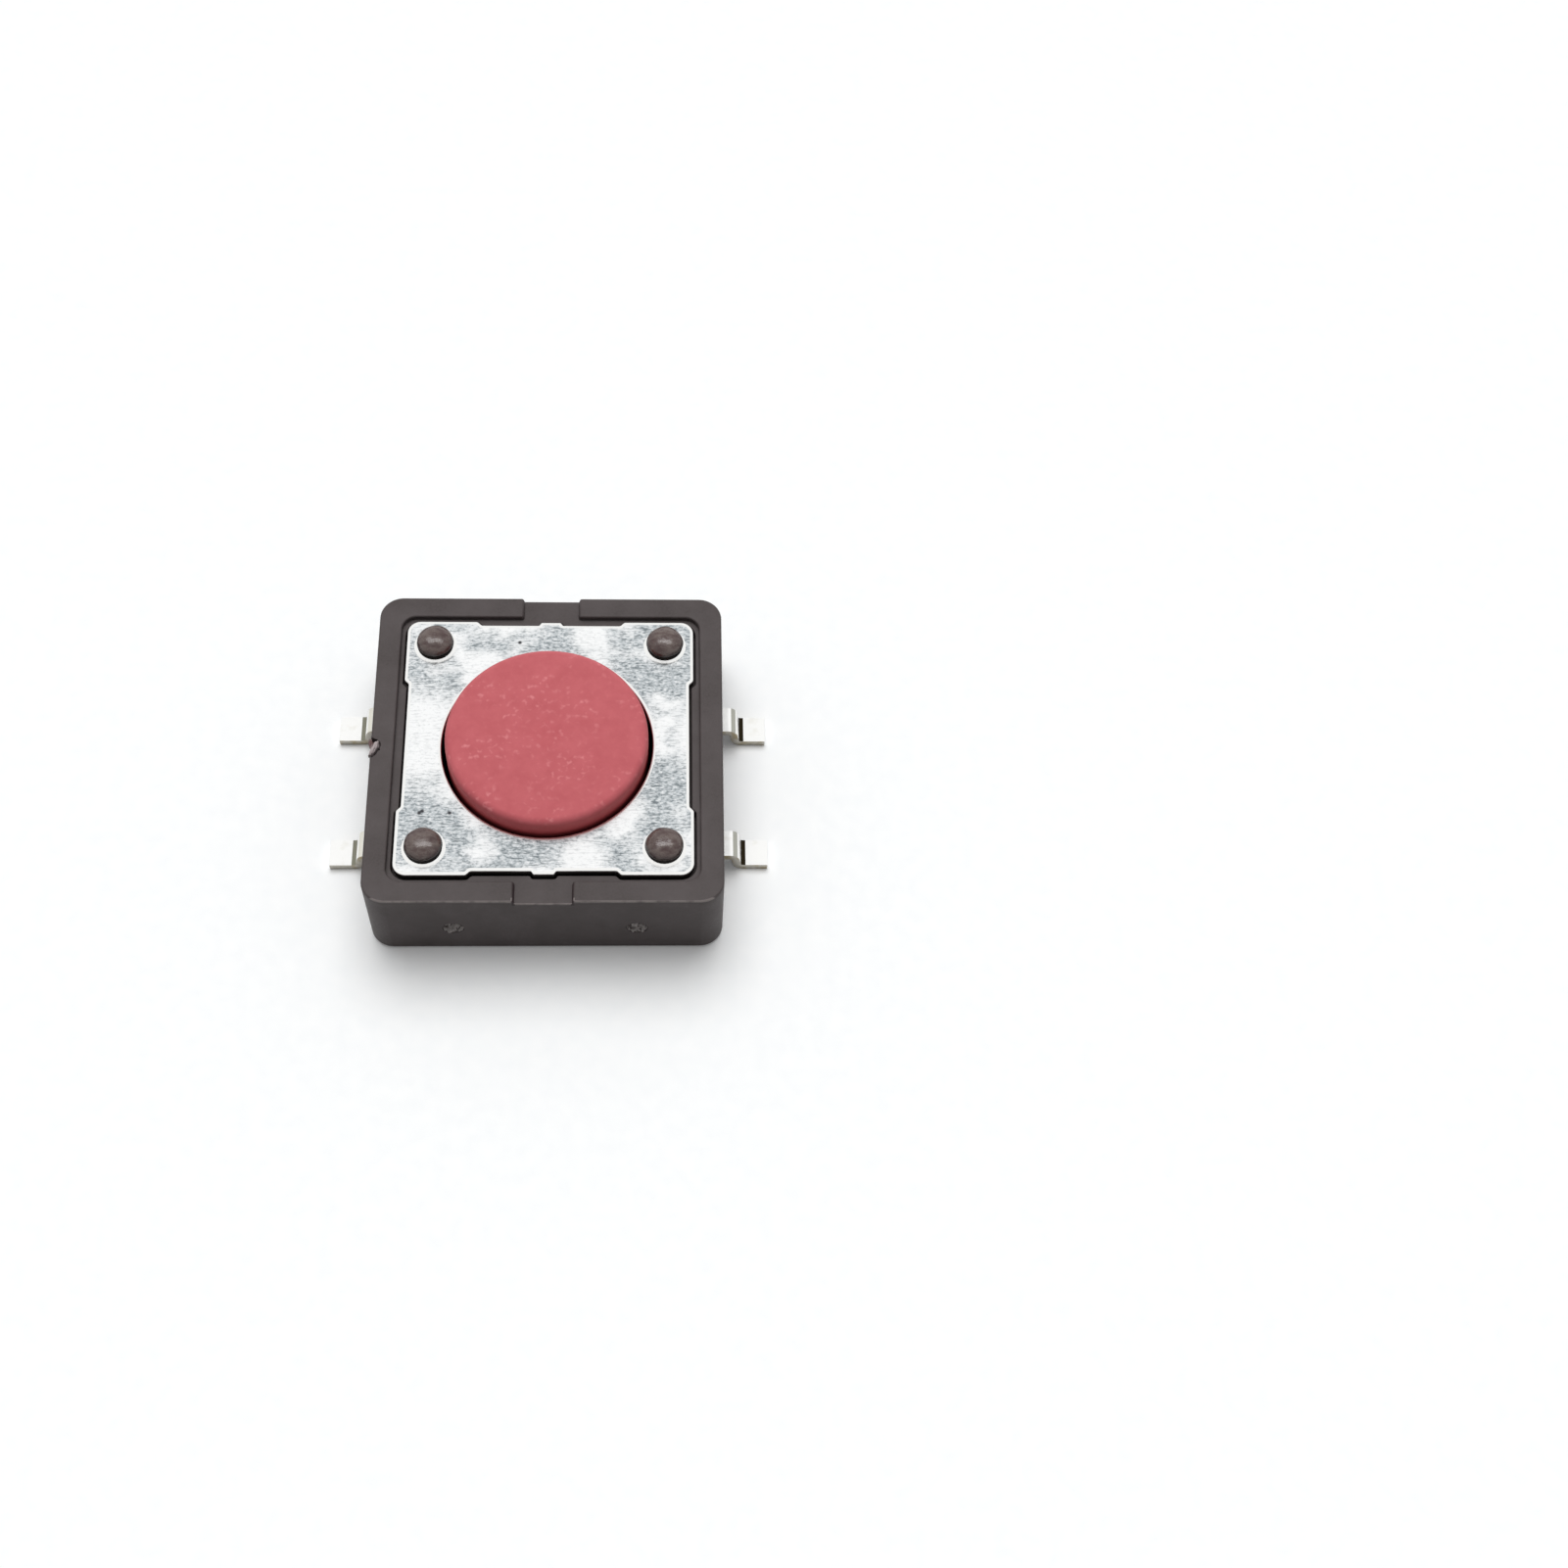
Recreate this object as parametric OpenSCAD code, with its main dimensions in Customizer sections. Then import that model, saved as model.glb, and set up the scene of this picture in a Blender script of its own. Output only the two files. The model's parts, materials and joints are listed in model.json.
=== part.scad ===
// Tactile push button switch for surface mounting: a square moulded housing with a heat-staked
// metal cover plate, a round button over a snap dome, and four joggled solder leads.
// Millimetres. The origin is on the board, under the centre of the button. X runs across the
// leads, Y along the two plain sides, and Z is up. At rest the button stands at its full height.

/* [Housing] */
// Width and depth of the square housing
body_w = 12; // [11.6:0.1:14]
// Height of the moulding, from its underside to the top of its rim
body_h = 3.45; // [3.3:0.05:5]
// Air gap between the housing's underside and the board
standoff = 0.05; // [0.02:0.01:0.2]
// Radius of the four upright corners
corner_r = 0.8; // [0.4:0.1:1.4]
// Bevel along the rim's outer top edge
edge_bevel = 0.08; // [0.03:0.01:0.15]
// Thickness of the raised rim
rim_wall = 0.79; // [0.6:0.01:0.9]
// Corner radius of the opening inside the rim
rim_inner_r = 0.5; // [0.3:0.05:0.8]
// Depth of the ledge below the top of the rim
ledge_drop = 0.2; // [0.1:0.01:0.25]
// Distance from the inside of the rim to the cover plate's edge
ledge_w = 0.21; // [0.15:0.01:0.3]
// Width of the notches through the middle of the front and back rim, at their floor
notch_w = 1.9; // [1:0.1:3]
// Slope of each notch side, as the width that it gains on its way up
notch_slope = 0.05; // [0.02:0.01:0.15]

/* [Cover plate] */
// Thickness of the cover plate's sheet
plate_t = 0.3; // [0.26:0.01:0.4]
// Radius of the cover plate's corners
plate_corner_r = 0.45; // [0.2:0.05:0.8]
// Clearance between the cover plate's edge and its pocket in the housing
plate_gap = 0.1; // [0.05:0.01:0.14]
// Depth of the groove in the pocket's floor that clears the burr along the plate's edge
burr_groove_depth = 0.3; // [0.1:0.05:0.5]
// How far that groove reaches in under the plate
burr_groove_w = 0.2; // [0.1:0.05:0.25]
// Length of the shallow recess along each side of the plate
recess_len = 5.15; // [3:0.05:6]
// Depth of those recesses
recess_depth = 0.15; // [0.08:0.01:0.2]
// Width at the root of the small tab in the front and back recess
tab_w = 0.85; // [0.6:0.05:1.2]
// Width at the tip of that tab
tab_tip_w = 0.68; // [0.4:0.02:0.9]
// How far the tab stands out of its recess
tab_h = 0.12; // [0.06:0.01:0.14]

/* [Staked posts] */
// Distance from the cover plate's edges to a post's centre
post_inset = 1; // [0.9:0.05:1.3]
// Radius of the post's shank where it passes through the plate
post_r = 0.4; // [0.3:0.05:0.45]
// Clearance between that shank and its hole
post_gap = 0.05; // [0.03:0.01:0.1]
// Radius of the staked head
head_r = 0.64; // [0.55:0.01:0.8]
// Height of the head's edge, up to where it is widest
head_edge = 0.19; // [0.1:0.01:0.25]
// How far that edge draws in towards the plate
head_tuck = 0.06; // [0.02:0.01:0.1]
// Height of the dome above that edge
head_crown = 0.45; // [0.2:0.01:0.55]
// Radius of the small raised spot that the staking tool leaves on the head
spot_r = 0.2; // [0.1:0.02:0.3]
// Height of that spot above the crown
spot_h = 0.03; // [0.02:0.01:0.06]

/* [Button] */
// Width of the cover plate between its edges and the button's hole, where it is narrowest
plate_frame = 1.35; // [1:0.05:1.8]
// Height of the cap above the cover plate at rest
button_stand = 0.7; // [0.6:0.05:3]
// Radius of the edge round the cap's flat top
button_fillet = 0.25; // [0.1:0.05:0.5]
// Clearance between the cap and its hole in the cover plate
button_gap = 0.2; // [0.1:0.01:0.3]
// How far the flange under the cover plate stands out past the cap
flange_w = 0.7; // [0.5:0.05:0.8]
// Thickness of that flange
flange_t = 0.8; // [0.5:0.05:0.9]
// Clearance between the flange and the cover plate above it
flange_play = 0.03; // [0.02:0.01:0.08]
// Width of the groove in the flange's top, round the foot of the cap
foot_groove_w = 0.3; // [0.2:0.05:0.4]
// Depth of that groove
foot_groove_depth = 0.35; // [0.1:0.05:0.4]
// Clearance between the flange and the housing's well
flange_gap = 0.1; // [0.06:0.01:0.15]
// Diameter of the nub that pushes on the dome
nub_d = 2.2; // [1.6:0.1:3]
// Thickness of the cap's wall round its hollow underside
cap_wall = 0.7; // [0.5:0.05:1]
// Thickness of the cap's roof over that hollow
cap_roof = 0.9; // [0.6:0.05:1]
// Thickness of the four ribs between the nub and the cap's wall
rib_t = 0.5; // [0.3:0.05:0.8]

/* [Snap dome and film] */
// Width of the step round the dome's seat, which carries the film
film_step = 0.5; // [0.3:0.05:0.7]
// Free height under the middle of the dome, which is the button's travel
dome_rise = 0.3; // [0.2:0.01:0.35]
// Thickness of the dome's sheet
dome_t = 0.1; // [0.06:0.01:0.12]
// Clearance between the dome and its seat in the housing
dome_gap = 0.15; // [0.1:0.01:0.2]
// Thickness of the sealing film
film_t = 0.05; // [0.03:0.01:0.08]
// Clearance between the film and the dome under it, and between the nub and the film
film_gap = 0.04; // [0.03:0.01:0.06]
// Clearance between the film's edge and the housing's well
film_edge_gap = 0.08; // [0.05:0.01:0.15]

/* [Contacts and leads] */
// Thickness of the contact strip
strip_t = 0.3; // [0.2:0.01:0.32]
// Width of each strip and of its two leads
strip_w = 1; // [0.8:0.05:1.2]
// Distance between the two strips, centre to centre
strip_pitch = 5; // [4.5:0.1:5.4]
// Height of the strips' underside above the board, where they leave the housing
strip_rise = 0.7; // [0.6:0.05:0.9]
// Length of the flat solder foot past the lead's second bend
foot_len = 0.86; // [0.5:0.02:1.5]
// Straight run of a lead between the housing and its first bend
shoulder_len = 0.25; // [0.15:0.05:0.5]
// Inside radius of the lead's two bends
bend_r = 0.07; // [0.05:0.01:0.15]
// Angle that each of those bends turns through
bend_angle = 80; // [60:1:85]
// Thickness of plastic over the strips, which is the floor under the dome
floor_cover = 0.2; // [0.15:0.01:0.25]
// How far the contact dimples stand above that floor
dimple_proud = 0.05; // [0.03:0.01:0.08]
// Radius at the top of the dimples that carry the dome
dimple_r = 0.3; // [0.2:0.02:0.34]
// Radius at the top of the dimple under the middle of the dome
centre_dimple_r = 0.5; // [0.3:0.05:0.6]
// Widening of a dimple from its top to the strip
dimple_flare = 0.12; // [0.05:0.01:0.15]
// How far the dimples that carry the dome reach past its edge
dimple_landing = 0.1; // [0.05:0.01:0.12]
// Angle from the X axis to each of the four dimples that carry the dome
dimple_angle = 15; // [10:1:20]
// Width of the outer strip's two arms
arm_w = 0.9; // [0.8:0.05:1]
// Width of the tongue that carries the centre contact
tongue_w = 1.3; // [1.2:0.05:1.6]

/* [Marks of the moulding] */
// Diameter of the four holes that the mould's support pins leave in the underside
pin_hole_d = 0.9; // [0.5:0.05:0.95]
// Distance from the housing's side to those holes' centres
pin_hole_inset = 1.6; // [1.2:0.1:2]
// Diameter of the two gate marks on the front face
gate_d = 0.75; // [0.5:0.05:1]
// Depth of those marks
gate_depth = 0.04; // [0.02:0.01:0.1]
// Distance from the middle of the front face to each mark
gate_x = 3.08; // [2:0.1:4]
// Height of the marks above the board
gate_z = 1.5; // [1:0.1:2]
// Radius of the chip in the left rim's outer top edge
chip_r = 0.32; // [0.15:0.01:0.4]
// Place of the chip along that edge, forward of the middle
chip_y = 0.06; // [-1:0.02:1]

/* [Hidden] */
$fn = 96;
fine = 256;
cut = 1;

half = body_w / 2;
rim_z = standoff + body_h;
ledge_z = rim_z - ledge_drop;
plate_z = rim_z - plate_t;
rim_inner = half - rim_wall;
plate_half = rim_inner - ledge_w;
post_at = plate_half - post_inset;

hole_r = plate_half - plate_frame;
button_r = hole_r - button_gap;
flange_r = button_r + flange_w;
well_r = flange_r + flange_gap;
button_top = rim_z + button_stand;
flange_top = plate_z - flange_play;
flange_z = flange_top - flange_t;
core_r = button_r - cap_wall;
core_top = button_top - cap_roof;

strip_z = strip_rise;
strip_top = strip_z + strip_t;
floor_z = strip_top + floor_cover;
dimple_z = floor_z + dimple_proud;
dimple_draw = dimple_z - strip_top;
dome_seat_r = well_r - film_step;
dome_r = dome_seat_r - dome_gap;
dome_top = dimple_z + dome_rise + dome_t;

dimple_at = dome_r + dimple_landing - dimple_r;
arm_at = dimple_at * cos(dimple_angle);
arm_reach = dimple_at * sin(dimple_angle) + arm_w / 2;
tongue_reach = centre_dimple_r + dimple_flare;

film_z = dimple_z + dome_t;
film_r = well_r - film_edge_gap;
film_rise = dome_top + film_gap - film_z;
nub_z = film_z + film_rise + film_t + film_gap;

bend_steps = 8;
bend_mid_r = bend_r + strip_t / 2;
web_len = (strip_z - 2 * bend_mid_r * (1 - cos(bend_angle))) / sin(bend_angle);
first_bend_x = half + shoulder_len;
foot_x = first_bend_x + 2 * bend_mid_r * sin(bend_angle) + web_len * cos(bend_angle);

// Radius of the sphere whose cap is this high over a circle of this radius.
function cap_sphere(r, h) = (r * r + h * h) / (2 * h);

// How far a sloped step in an outline moves along its side when the outline grows by one.
function miter(slope) = tan(slope / 2);

module rounded_square(half_w, r) {
    square([2 * half_w, 2 * (half_w - r)], center = true);
    square([2 * (half_w - r), 2 * half_w], center = true);
    for (x = [-1, 1], y = [-1, 1])
        translate([x * (half_w - r), y * (half_w - r)]) circle(r);
}

// Thin top layer of a rounded block, whose outer edge is bevelled all the way round.
module bevelled_layer(half_w, r, bevel) {
    profile = [[-half_w, 0], [half_w, 0], [half_w - bevel, bevel], [-half_w + bevel, bevel]];
    straight = 2 * (half_w - r);
    for (turn = [0, 90])
        rotate(turn) translate([0, straight / 2, 0]) rotate([90, 0, 0])
            linear_extrude(straight) polygon(profile);
    for (x = [-1, 1], y = [-1, 1])
        translate([x * (half_w - r), y * (half_w - r), 0])
            cylinder(h = bevel, r1 = r, r2 = r - bevel);
}

// Outline of the cover plate, grown by a clearance where it cuts the plate's pocket.
module plate_outline(grow) {
    outer = plate_half + grow;
    recess_slope = 45;
    recess_end = recess_len / 2 - grow * miter(recess_slope);
    recess_floor = outer - recess_depth;
    tab_slope = atan(tab_h / ((tab_w - tab_tip_w) / 2));
    tab_root = tab_w / 2 + grow * miter(tab_slope);
    tab_tip = tab_tip_w / 2 + grow * miter(tab_slope);
    difference() {
        rounded_square(outer, plate_corner_r + grow);
        for (side = [0:3])
            rotate(90 * side)
                polygon([[-recess_end, outer], [-recess_end + recess_depth, recess_floor],
                         [recess_end - recess_depth, recess_floor], [recess_end, outer],
                         [recess_end, outer + cut], [-recess_end, outer + cut]]);
    }
    for (side = [0, 2])
        rotate(90 * side)
            polygon([[-tab_root, recess_floor - tab_h], [tab_root, recess_floor - tab_h],
                     [tab_root, recess_floor], [tab_tip, recess_floor + tab_h],
                     [-tab_tip, recess_floor + tab_h], [-tab_root, recess_floor]]);
}

module at_posts() {
    for (x = [-1, 1], y = [-1, 1]) translate([x * post_at, y * post_at, 0]) children();
}

// Post of the housing that passes through the plate and is melted over it.
module staked_post() {
    crown_r = cap_sphere(head_r, head_crown);
    crown_z = rim_z + head_edge;
    spot_sphere = cap_sphere(spot_r, spot_h);
    spot_base = crown_z + head_crown - crown_r + sqrt(crown_r * crown_r - spot_r * spot_r);
    translate([0, 0, plate_z - cut / 4]) cylinder(h = plate_t + cut / 4, r = post_r);
    translate([0, 0, rim_z]) cylinder(h = head_edge, r1 = head_r - head_tuck, r2 = head_r);
    intersection() {
        translate([0, 0, crown_z + head_crown - crown_r]) sphere(crown_r, $fn = fine);
        translate([0, 0, crown_z]) cylinder(h = head_crown, r = head_r);
    }
    intersection() {
        translate([0, 0, crown_z + head_crown + spot_h - spot_sphere]) sphere(spot_sphere);
        translate([0, 0, crown_z]) cylinder(h = head_crown + spot_h, r = spot_r);
    }
}

// The rim's inner opening, the plate's pocket with its groove, the well for the button and the
// dome's seat.
module housing_hollow() {
    translate([0, 0, ledge_z]) linear_extrude(ledge_drop + cut) rounded_square(rim_inner, rim_inner_r);
    translate([0, 0, plate_z]) linear_extrude(plate_t + cut) plate_outline(plate_gap);
    translate([0, 0, plate_z - burr_groove_depth]) linear_extrude(burr_groove_depth + plate_t / 2)
        difference() {
            plate_outline(plate_gap);
            plate_outline(-burr_groove_w);
        }
    translate([0, 0, film_z]) cylinder(h = rim_z - film_z, r = well_r);
    translate([0, 0, floor_z]) cylinder(h = rim_z - floor_z, r = dome_seat_r);
}

module rim_notches() {
    low = notch_w / 2;
    high = low + notch_slope;
    over = high + notch_slope * cut / ledge_drop;
    translate([0, body_w / 2 + cut, ledge_z]) rotate([90, 0, 0])
        linear_extrude(body_w + 2 * cut)
            polygon([[-low, 0], [low, 0], [high, ledge_drop], [over, ledge_drop + cut],
                     [-over, ledge_drop + cut], [-high, ledge_drop]]);
}

// Marks that the mould leaves: support-pin holes up to the strips, and two gate marks in front.
module mould_marks() {
    for (x = [-1, 1], y = [-1, 1])
        translate([x * (half - pin_hole_inset), y * strip_pitch / 2, 0])
            cylinder(h = strip_z, d = pin_hole_d);
    for (x = [-1, 1])
        translate([x * gate_x, -half - cut + gate_depth, gate_z]) rotate([-90, 0, 0])
            cylinder(h = cut, d = gate_d);
}

module rim_chip() {
    translate([-half, -chip_y, rim_z]) sphere(chip_r);
}

module base() {
    color("#5a5151") {
        difference() {
            union() {
                translate([0, 0, standoff]) linear_extrude(body_h - edge_bevel)
                    rounded_square(half, corner_r);
                translate([0, 0, rim_z - edge_bevel]) bevelled_layer(half, corner_r, edge_bevel);
            }
            housing_hollow();
            rim_notches();
            mould_marks();
            rim_chip();
            outer_strip_shape();
            centre_strip_shape();
        }
        at_posts() staked_post();
    }
}

module cover_plate() {
    color("#d6dadd")
    difference() {
        translate([0, 0, plate_z]) linear_extrude(plate_t) plate_outline(0);
        translate([0, 0, plate_z - cut]) cylinder(h = plate_t + 2 * cut, r = hole_r);
        translate([0, 0, plate_z - cut]) at_posts()
            cylinder(h = plate_t + 2 * cut, r = post_r + post_gap);
    }
}

// Section of the cap and its grooved flange, to be turned round the button's axis.
module button_section() {
    difference() {
        square([flange_r, flange_t]);
        translate([button_r, flange_t - foot_groove_depth])
            square([foot_groove_w, foot_groove_depth + cut]);
    }
    square([button_r, button_top - flange_z - button_fillet]);
    square([button_r - button_fillet, button_top - flange_z]);
    translate([button_r - button_fillet, button_top - flange_z - button_fillet]) circle(button_fillet);
}

module button() {
    color("#c66c6e") {
        difference() {
            translate([0, 0, flange_z]) rotate_extrude() button_section();
            translate([0, 0, flange_z - cut]) cylinder(h = core_top - flange_z + cut, r = core_r);
        }
        translate([0, 0, nub_z]) cylinder(h = core_top + cap_roof / 2 - nub_z, d = nub_d);
        intersection() {
            translate([0, 0, flange_z])
                cylinder(h = core_top + cap_roof / 2 - flange_z, r = core_r + cap_wall / 2);
            for (turn = [0, 90])
                rotate(turn) translate([0, 0, (flange_z + button_top) / 2])
                    cube([2 * button_r, rib_t, button_top - flange_z], center = true);
        }
    }
}

// Shell of a sheet bulged to a sphere, cut round at a radius: the inside rises by h from z.
module bulged_sheet(r, z, h, t) {
    inside = cap_sphere(r, h);
    intersection() {
        difference() {
            translate([0, 0, z + h - inside]) sphere(inside + t, $fn = fine);
            translate([0, 0, z + h - inside]) sphere(inside, $fn = fine);
        }
        translate([0, 0, z]) cylinder(h = h + 2 * t, r = r, $fn = fine);
    }
}

module snap_dome() {
    color("#c9c9c4") bulged_sheet(dome_r, dimple_z, dome_rise, dome_t);
}

module sealing_film() {
    color("#c98a2b") {
        bulged_sheet(dome_seat_r, film_z, film_rise, film_t);
        translate([0, 0, film_z]) difference() {
            cylinder(h = film_t, r = film_r, $fn = fine);
            translate([0, 0, -cut]) cylinder(h = film_t + 2 * cut, r = dome_seat_r, $fn = fine);
        }
    }
}

// Points on an arc about (x, z), from one angle to another.
function arc(x, z, r, from, to) =
    [for (i = [0:bend_steps])
        let (a = from + (to - from) * i / bend_steps) [x + r * cos(a), z + r * sin(a)]];

// Section of one lead along X: out under its shoulder and joggle, round the foot, and back on top.
lead_section = concat(
    arc(first_bend_x, strip_z - bend_r, bend_r, 90, 90 - bend_angle),
    arc(foot_x, strip_t + bend_r, bend_r + strip_t, 270 - bend_angle, 270),
    [[foot_x + foot_len, 0], [foot_x + foot_len, strip_t]],
    arc(foot_x, strip_t + bend_r, bend_r, 270, 270 - bend_angle),
    arc(first_bend_x, strip_z - bend_r, bend_r + strip_t, 90 - bend_angle, 90));

// Straight strip through the housing, with a joggled lead and its solder foot at both ends.
module leaded_bar() {
    last = len(lead_section) - 1;
    other_end = [for (i = [last:-1:0]) [-lead_section[i][0], lead_section[i][1]]];
    rotate([90, 0, 0]) linear_extrude(strip_w, center = true)
        polygon(concat(lead_section, other_end));
}

module dimple(r) {
    translate([0, 0, strip_top]) cylinder(h = dimple_draw, r1 = r + dimple_flare, r2 = r);
}

// Hollow that drawing a dimple leaves in the strip's underside.
module dimple_back(r) {
    translate([0, 0, strip_z]) cylinder(h = dimple_draw, r1 = r, r2 = r - dimple_flare);
}

module at_dome_dimples() {
    for (middle = [0, 180], side = [-1, 1])
        rotate(middle + side * dimple_angle) translate([dimple_at, 0, 0]) children();
}

module outer_strip_shape() {
    difference() {
        union() {
            translate([0, strip_pitch / 2, 0]) leaded_bar();
            for (side = [-1, 1])
                translate([side * arm_at - arm_w / 2, -arm_reach, strip_z])
                    cube([arm_w, arm_reach + strip_pitch / 2, strip_t]);
            at_dome_dimples() dimple(dimple_r);
        }
        at_dome_dimples() dimple_back(dimple_r);
    }
}

module centre_strip_shape() {
    difference() {
        union() {
            translate([0, -strip_pitch / 2, 0]) leaded_bar();
            translate([-tongue_w / 2, -strip_pitch / 2, strip_z])
                cube([tongue_w, strip_pitch / 2 + tongue_reach, strip_t]);
            dimple(centre_dimple_r);
        }
        dimple_back(centre_dimple_r);
    }
}

module outer_contact_strip() {
    color("#dcdcd4") outer_strip_shape();
}

module centre_contact_strip() {
    color("#dcdcd4") centre_strip_shape();
}

base();
cover_plate();
button();
sealing_film();
snap_dome();
outer_contact_strip();
centre_contact_strip();
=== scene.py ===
"""Tactile push button switch: its visible pieces, their finishes and the studio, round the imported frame."""
import json
import logging
import math
from dataclasses import dataclass
from enum import Enum
from typing import Any

import bmesh
import bpy
from bmesh.types import BMEdge, BMesh, BMFace, BMVert
from mathutils import Matrix, Vector, noise

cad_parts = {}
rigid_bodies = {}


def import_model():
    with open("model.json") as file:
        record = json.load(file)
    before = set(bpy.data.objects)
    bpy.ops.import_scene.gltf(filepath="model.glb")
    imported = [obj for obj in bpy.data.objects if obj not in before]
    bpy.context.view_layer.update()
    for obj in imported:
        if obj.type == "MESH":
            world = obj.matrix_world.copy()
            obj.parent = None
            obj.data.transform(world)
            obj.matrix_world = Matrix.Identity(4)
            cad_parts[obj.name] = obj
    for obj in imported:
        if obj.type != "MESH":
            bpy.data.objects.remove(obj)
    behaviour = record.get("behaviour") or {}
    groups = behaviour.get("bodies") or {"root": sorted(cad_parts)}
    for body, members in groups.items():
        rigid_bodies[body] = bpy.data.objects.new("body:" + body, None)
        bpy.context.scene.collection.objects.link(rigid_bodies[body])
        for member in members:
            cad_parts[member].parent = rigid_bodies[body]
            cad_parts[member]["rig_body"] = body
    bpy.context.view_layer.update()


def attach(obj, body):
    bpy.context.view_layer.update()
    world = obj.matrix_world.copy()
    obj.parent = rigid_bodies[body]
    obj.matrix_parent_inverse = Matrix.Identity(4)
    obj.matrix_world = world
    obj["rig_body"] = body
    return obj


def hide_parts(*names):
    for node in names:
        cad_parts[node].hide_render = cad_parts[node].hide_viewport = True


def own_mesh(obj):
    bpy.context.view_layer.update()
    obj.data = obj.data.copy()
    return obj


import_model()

MM = 0.001
# Millimetres within which two places are one.
TINY = 1e-4
# Share of its radius by which the surface of a torn lump strays, and how finely: bumps to a radius.
RAGGED, RAGGED_GRAIN = 0.22, 2.2
# Least cosine at which a face counts as looking straight to a side.
FACING = 0.999
# Sides of a small hole, of a post, and of the well and the button's hole.
HOLE_SIDES, POST_SIDES, ROUND_SIDES = 32, 48, 128
CORNER_STEPS = 14
FULL_TURN = 2 * math.pi
UP = Vector((0, 0, 1))

logging.basicConfig(level=logging.INFO, format="%(message)s")
log = logging.getLogger("switch")

Edges = list[BMEdge]
Stations = list[tuple[float, float]]
Point = tuple[float, float, float]
Tree, Socket = bpy.types.NodeTree, bpy.types.NodeSocket
Material, Object = bpy.types.Material, bpy.types.Object


class Body(Enum):
    """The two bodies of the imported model."""

    SWITCH = "switch_body"
    BUTTON = "button"


class Slot(Enum):
    """The record's material slots."""

    HOUSING = "housing"
    PLATE = "plate"
    BUTTON = "button"
    FILM = "film"
    DOME = "dome"
    CONTACT = "contact"


class Contact(Enum):
    """The two contact strips, by the node that each one stands for."""

    OUTER = "outer_contact_strip"
    CENTRE = "centre_contact_strip"


# Meshes. Every shape is worked in millimetres and turned to metres once, when it is finished.


def edges_among(verts: list[BMVert]) -> Edges:
    """Finds the edges that join some vertices.

    Args:
        verts: The vertices.

    Returns:
        Each edge with both its ends among them, once.
    """
    chosen = set(verts)
    found = dict.fromkeys(e for v in verts for e in v.link_edges)
    return [e for e in found if e.verts[0] in chosen and e.verts[1] in chosen]


def open_face(bm: BMesh, face: BMFace) -> Edges:
    """Takes a face out of a mesh.

    Args:
        bm: The mesh.
        face: The face.

    Returns:
        The edges round the opening.
    """
    edges = list(face.edges)
    bmesh.ops.delete(bm, geom=[face], context="FACES_ONLY")
    return edges


def wire(bm: BMesh, corners: list[tuple[float, float, float, float]], segments: int) -> Edges:
    """Draws a closed wire through a few corners, each rounded to its own radius.

    Args:
        bm: The mesh that takes it.
        corners: Place and rounding of each corner, as x, y, z and distance.
        segments: Steps in each rounded corner.

    Returns:
        The wire's edges.
    """
    verts = [bm.verts.new(corner[:3]) for corner in corners]
    bm.faces.new(verts)
    for vert, corner in zip(verts, corners):
        if corner[3] > 0:
            made = bmesh.ops.bevel(bm, geom=[vert], offset=corner[3], offset_type="OFFSET",
                                   affect="VERTICES", segments=segments, profile=0.5,
                                   material=-1, clamp_overlap=False)
            verts.extend(made["verts"])
    alive = [v for v in verts if v.is_valid]
    return open_face(bm, alive[0].link_faces[0])


def rounded_square(bm: BMesh, half: float, radius: float, z: float, segments: int) -> Edges:
    """Draws a level square wire with rounded corners, and returns its edges."""
    corners = [(half, half), (-half, half), (-half, -half), (half, -half)]
    return wire(bm, [(x, y, z, radius) for x, y in corners], segments)


def circle(bm: BMesh, radius: float, at: Point, segments: int,
           facing: Vector = UP) -> Edges:
    """Draws a circle.

    Args:
        bm: The mesh that takes it.
        radius: Its radius.
        at: Its centre.
        segments: Its number of sides.
        facing: The direction of its axis.

    Returns:
        The circle's edges.
    """
    place = Matrix.Translation(at) @ facing.to_track_quat("Z", "Y").to_matrix().to_4x4()
    made = bmesh.ops.create_circle(bm, cap_ends=False, radius=radius, segments=segments, matrix=place)
    return edges_among(made["verts"])


def fill(bm: BMesh, *wires: Edges, facing: Vector = UP) -> list[BMFace]:
    """Fills the flat area between an outline and the holes in it.

    Args:
        bm: The mesh.
        *wires: The outline and the holes.
        facing: The side that the new faces look to.

    Returns:
        The new faces.
    """
    made = bmesh.ops.triangle_fill(bm, use_beauty=True, use_dissolve=False, normal=facing,
                                   edges=[e for edges in wires for e in edges])
    return [g for g in made["geom"] if isinstance(g, BMFace)]


def bridge(bm: BMesh, *wires: Edges) -> list[list[BMFace]]:
    """Joins wires of one form by walls, each to the next, and returns the faces of each wall."""
    return [bmesh.ops.bridge_loops(bm, edges=one + other)["faces"] for one, other in zip(wires, wires[1:])]


def pull(bm: BMesh, edges: Edges, shift: Vector) -> Edges:
    """Extrudes a wire into a wall.

    Args:
        bm: The mesh.
        edges: The wire.
        shift: How far its copy moves.

    Returns:
        The copy's edges.
    """
    made = bmesh.ops.extrude_edge_only(bm, edges=edges)["geom"]
    verts = [g for g in made if isinstance(g, BMVert)]
    bmesh.ops.translate(bm, verts=verts, vec=shift)
    return edges_among(verts)


def raise_faces(bm: BMesh, faces: list[BMFace], shift: Vector) -> list[BMVert]:
    """Extrudes faces of a shell away from it.

    Args:
        bm: The mesh.
        faces: The faces, which move.
        shift: How far they move.

    Returns:
        The vertices of the moved faces.
    """
    made = bmesh.ops.extrude_face_region(bm, geom=faces)["geom"]
    bmesh.ops.delete(bm, geom=[f for f in faces if f.is_valid], context="FACES")
    verts = [g for g in made if isinstance(g, BMVert)]
    bmesh.ops.translate(bm, verts=verts, vec=shift)
    return verts


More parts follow.
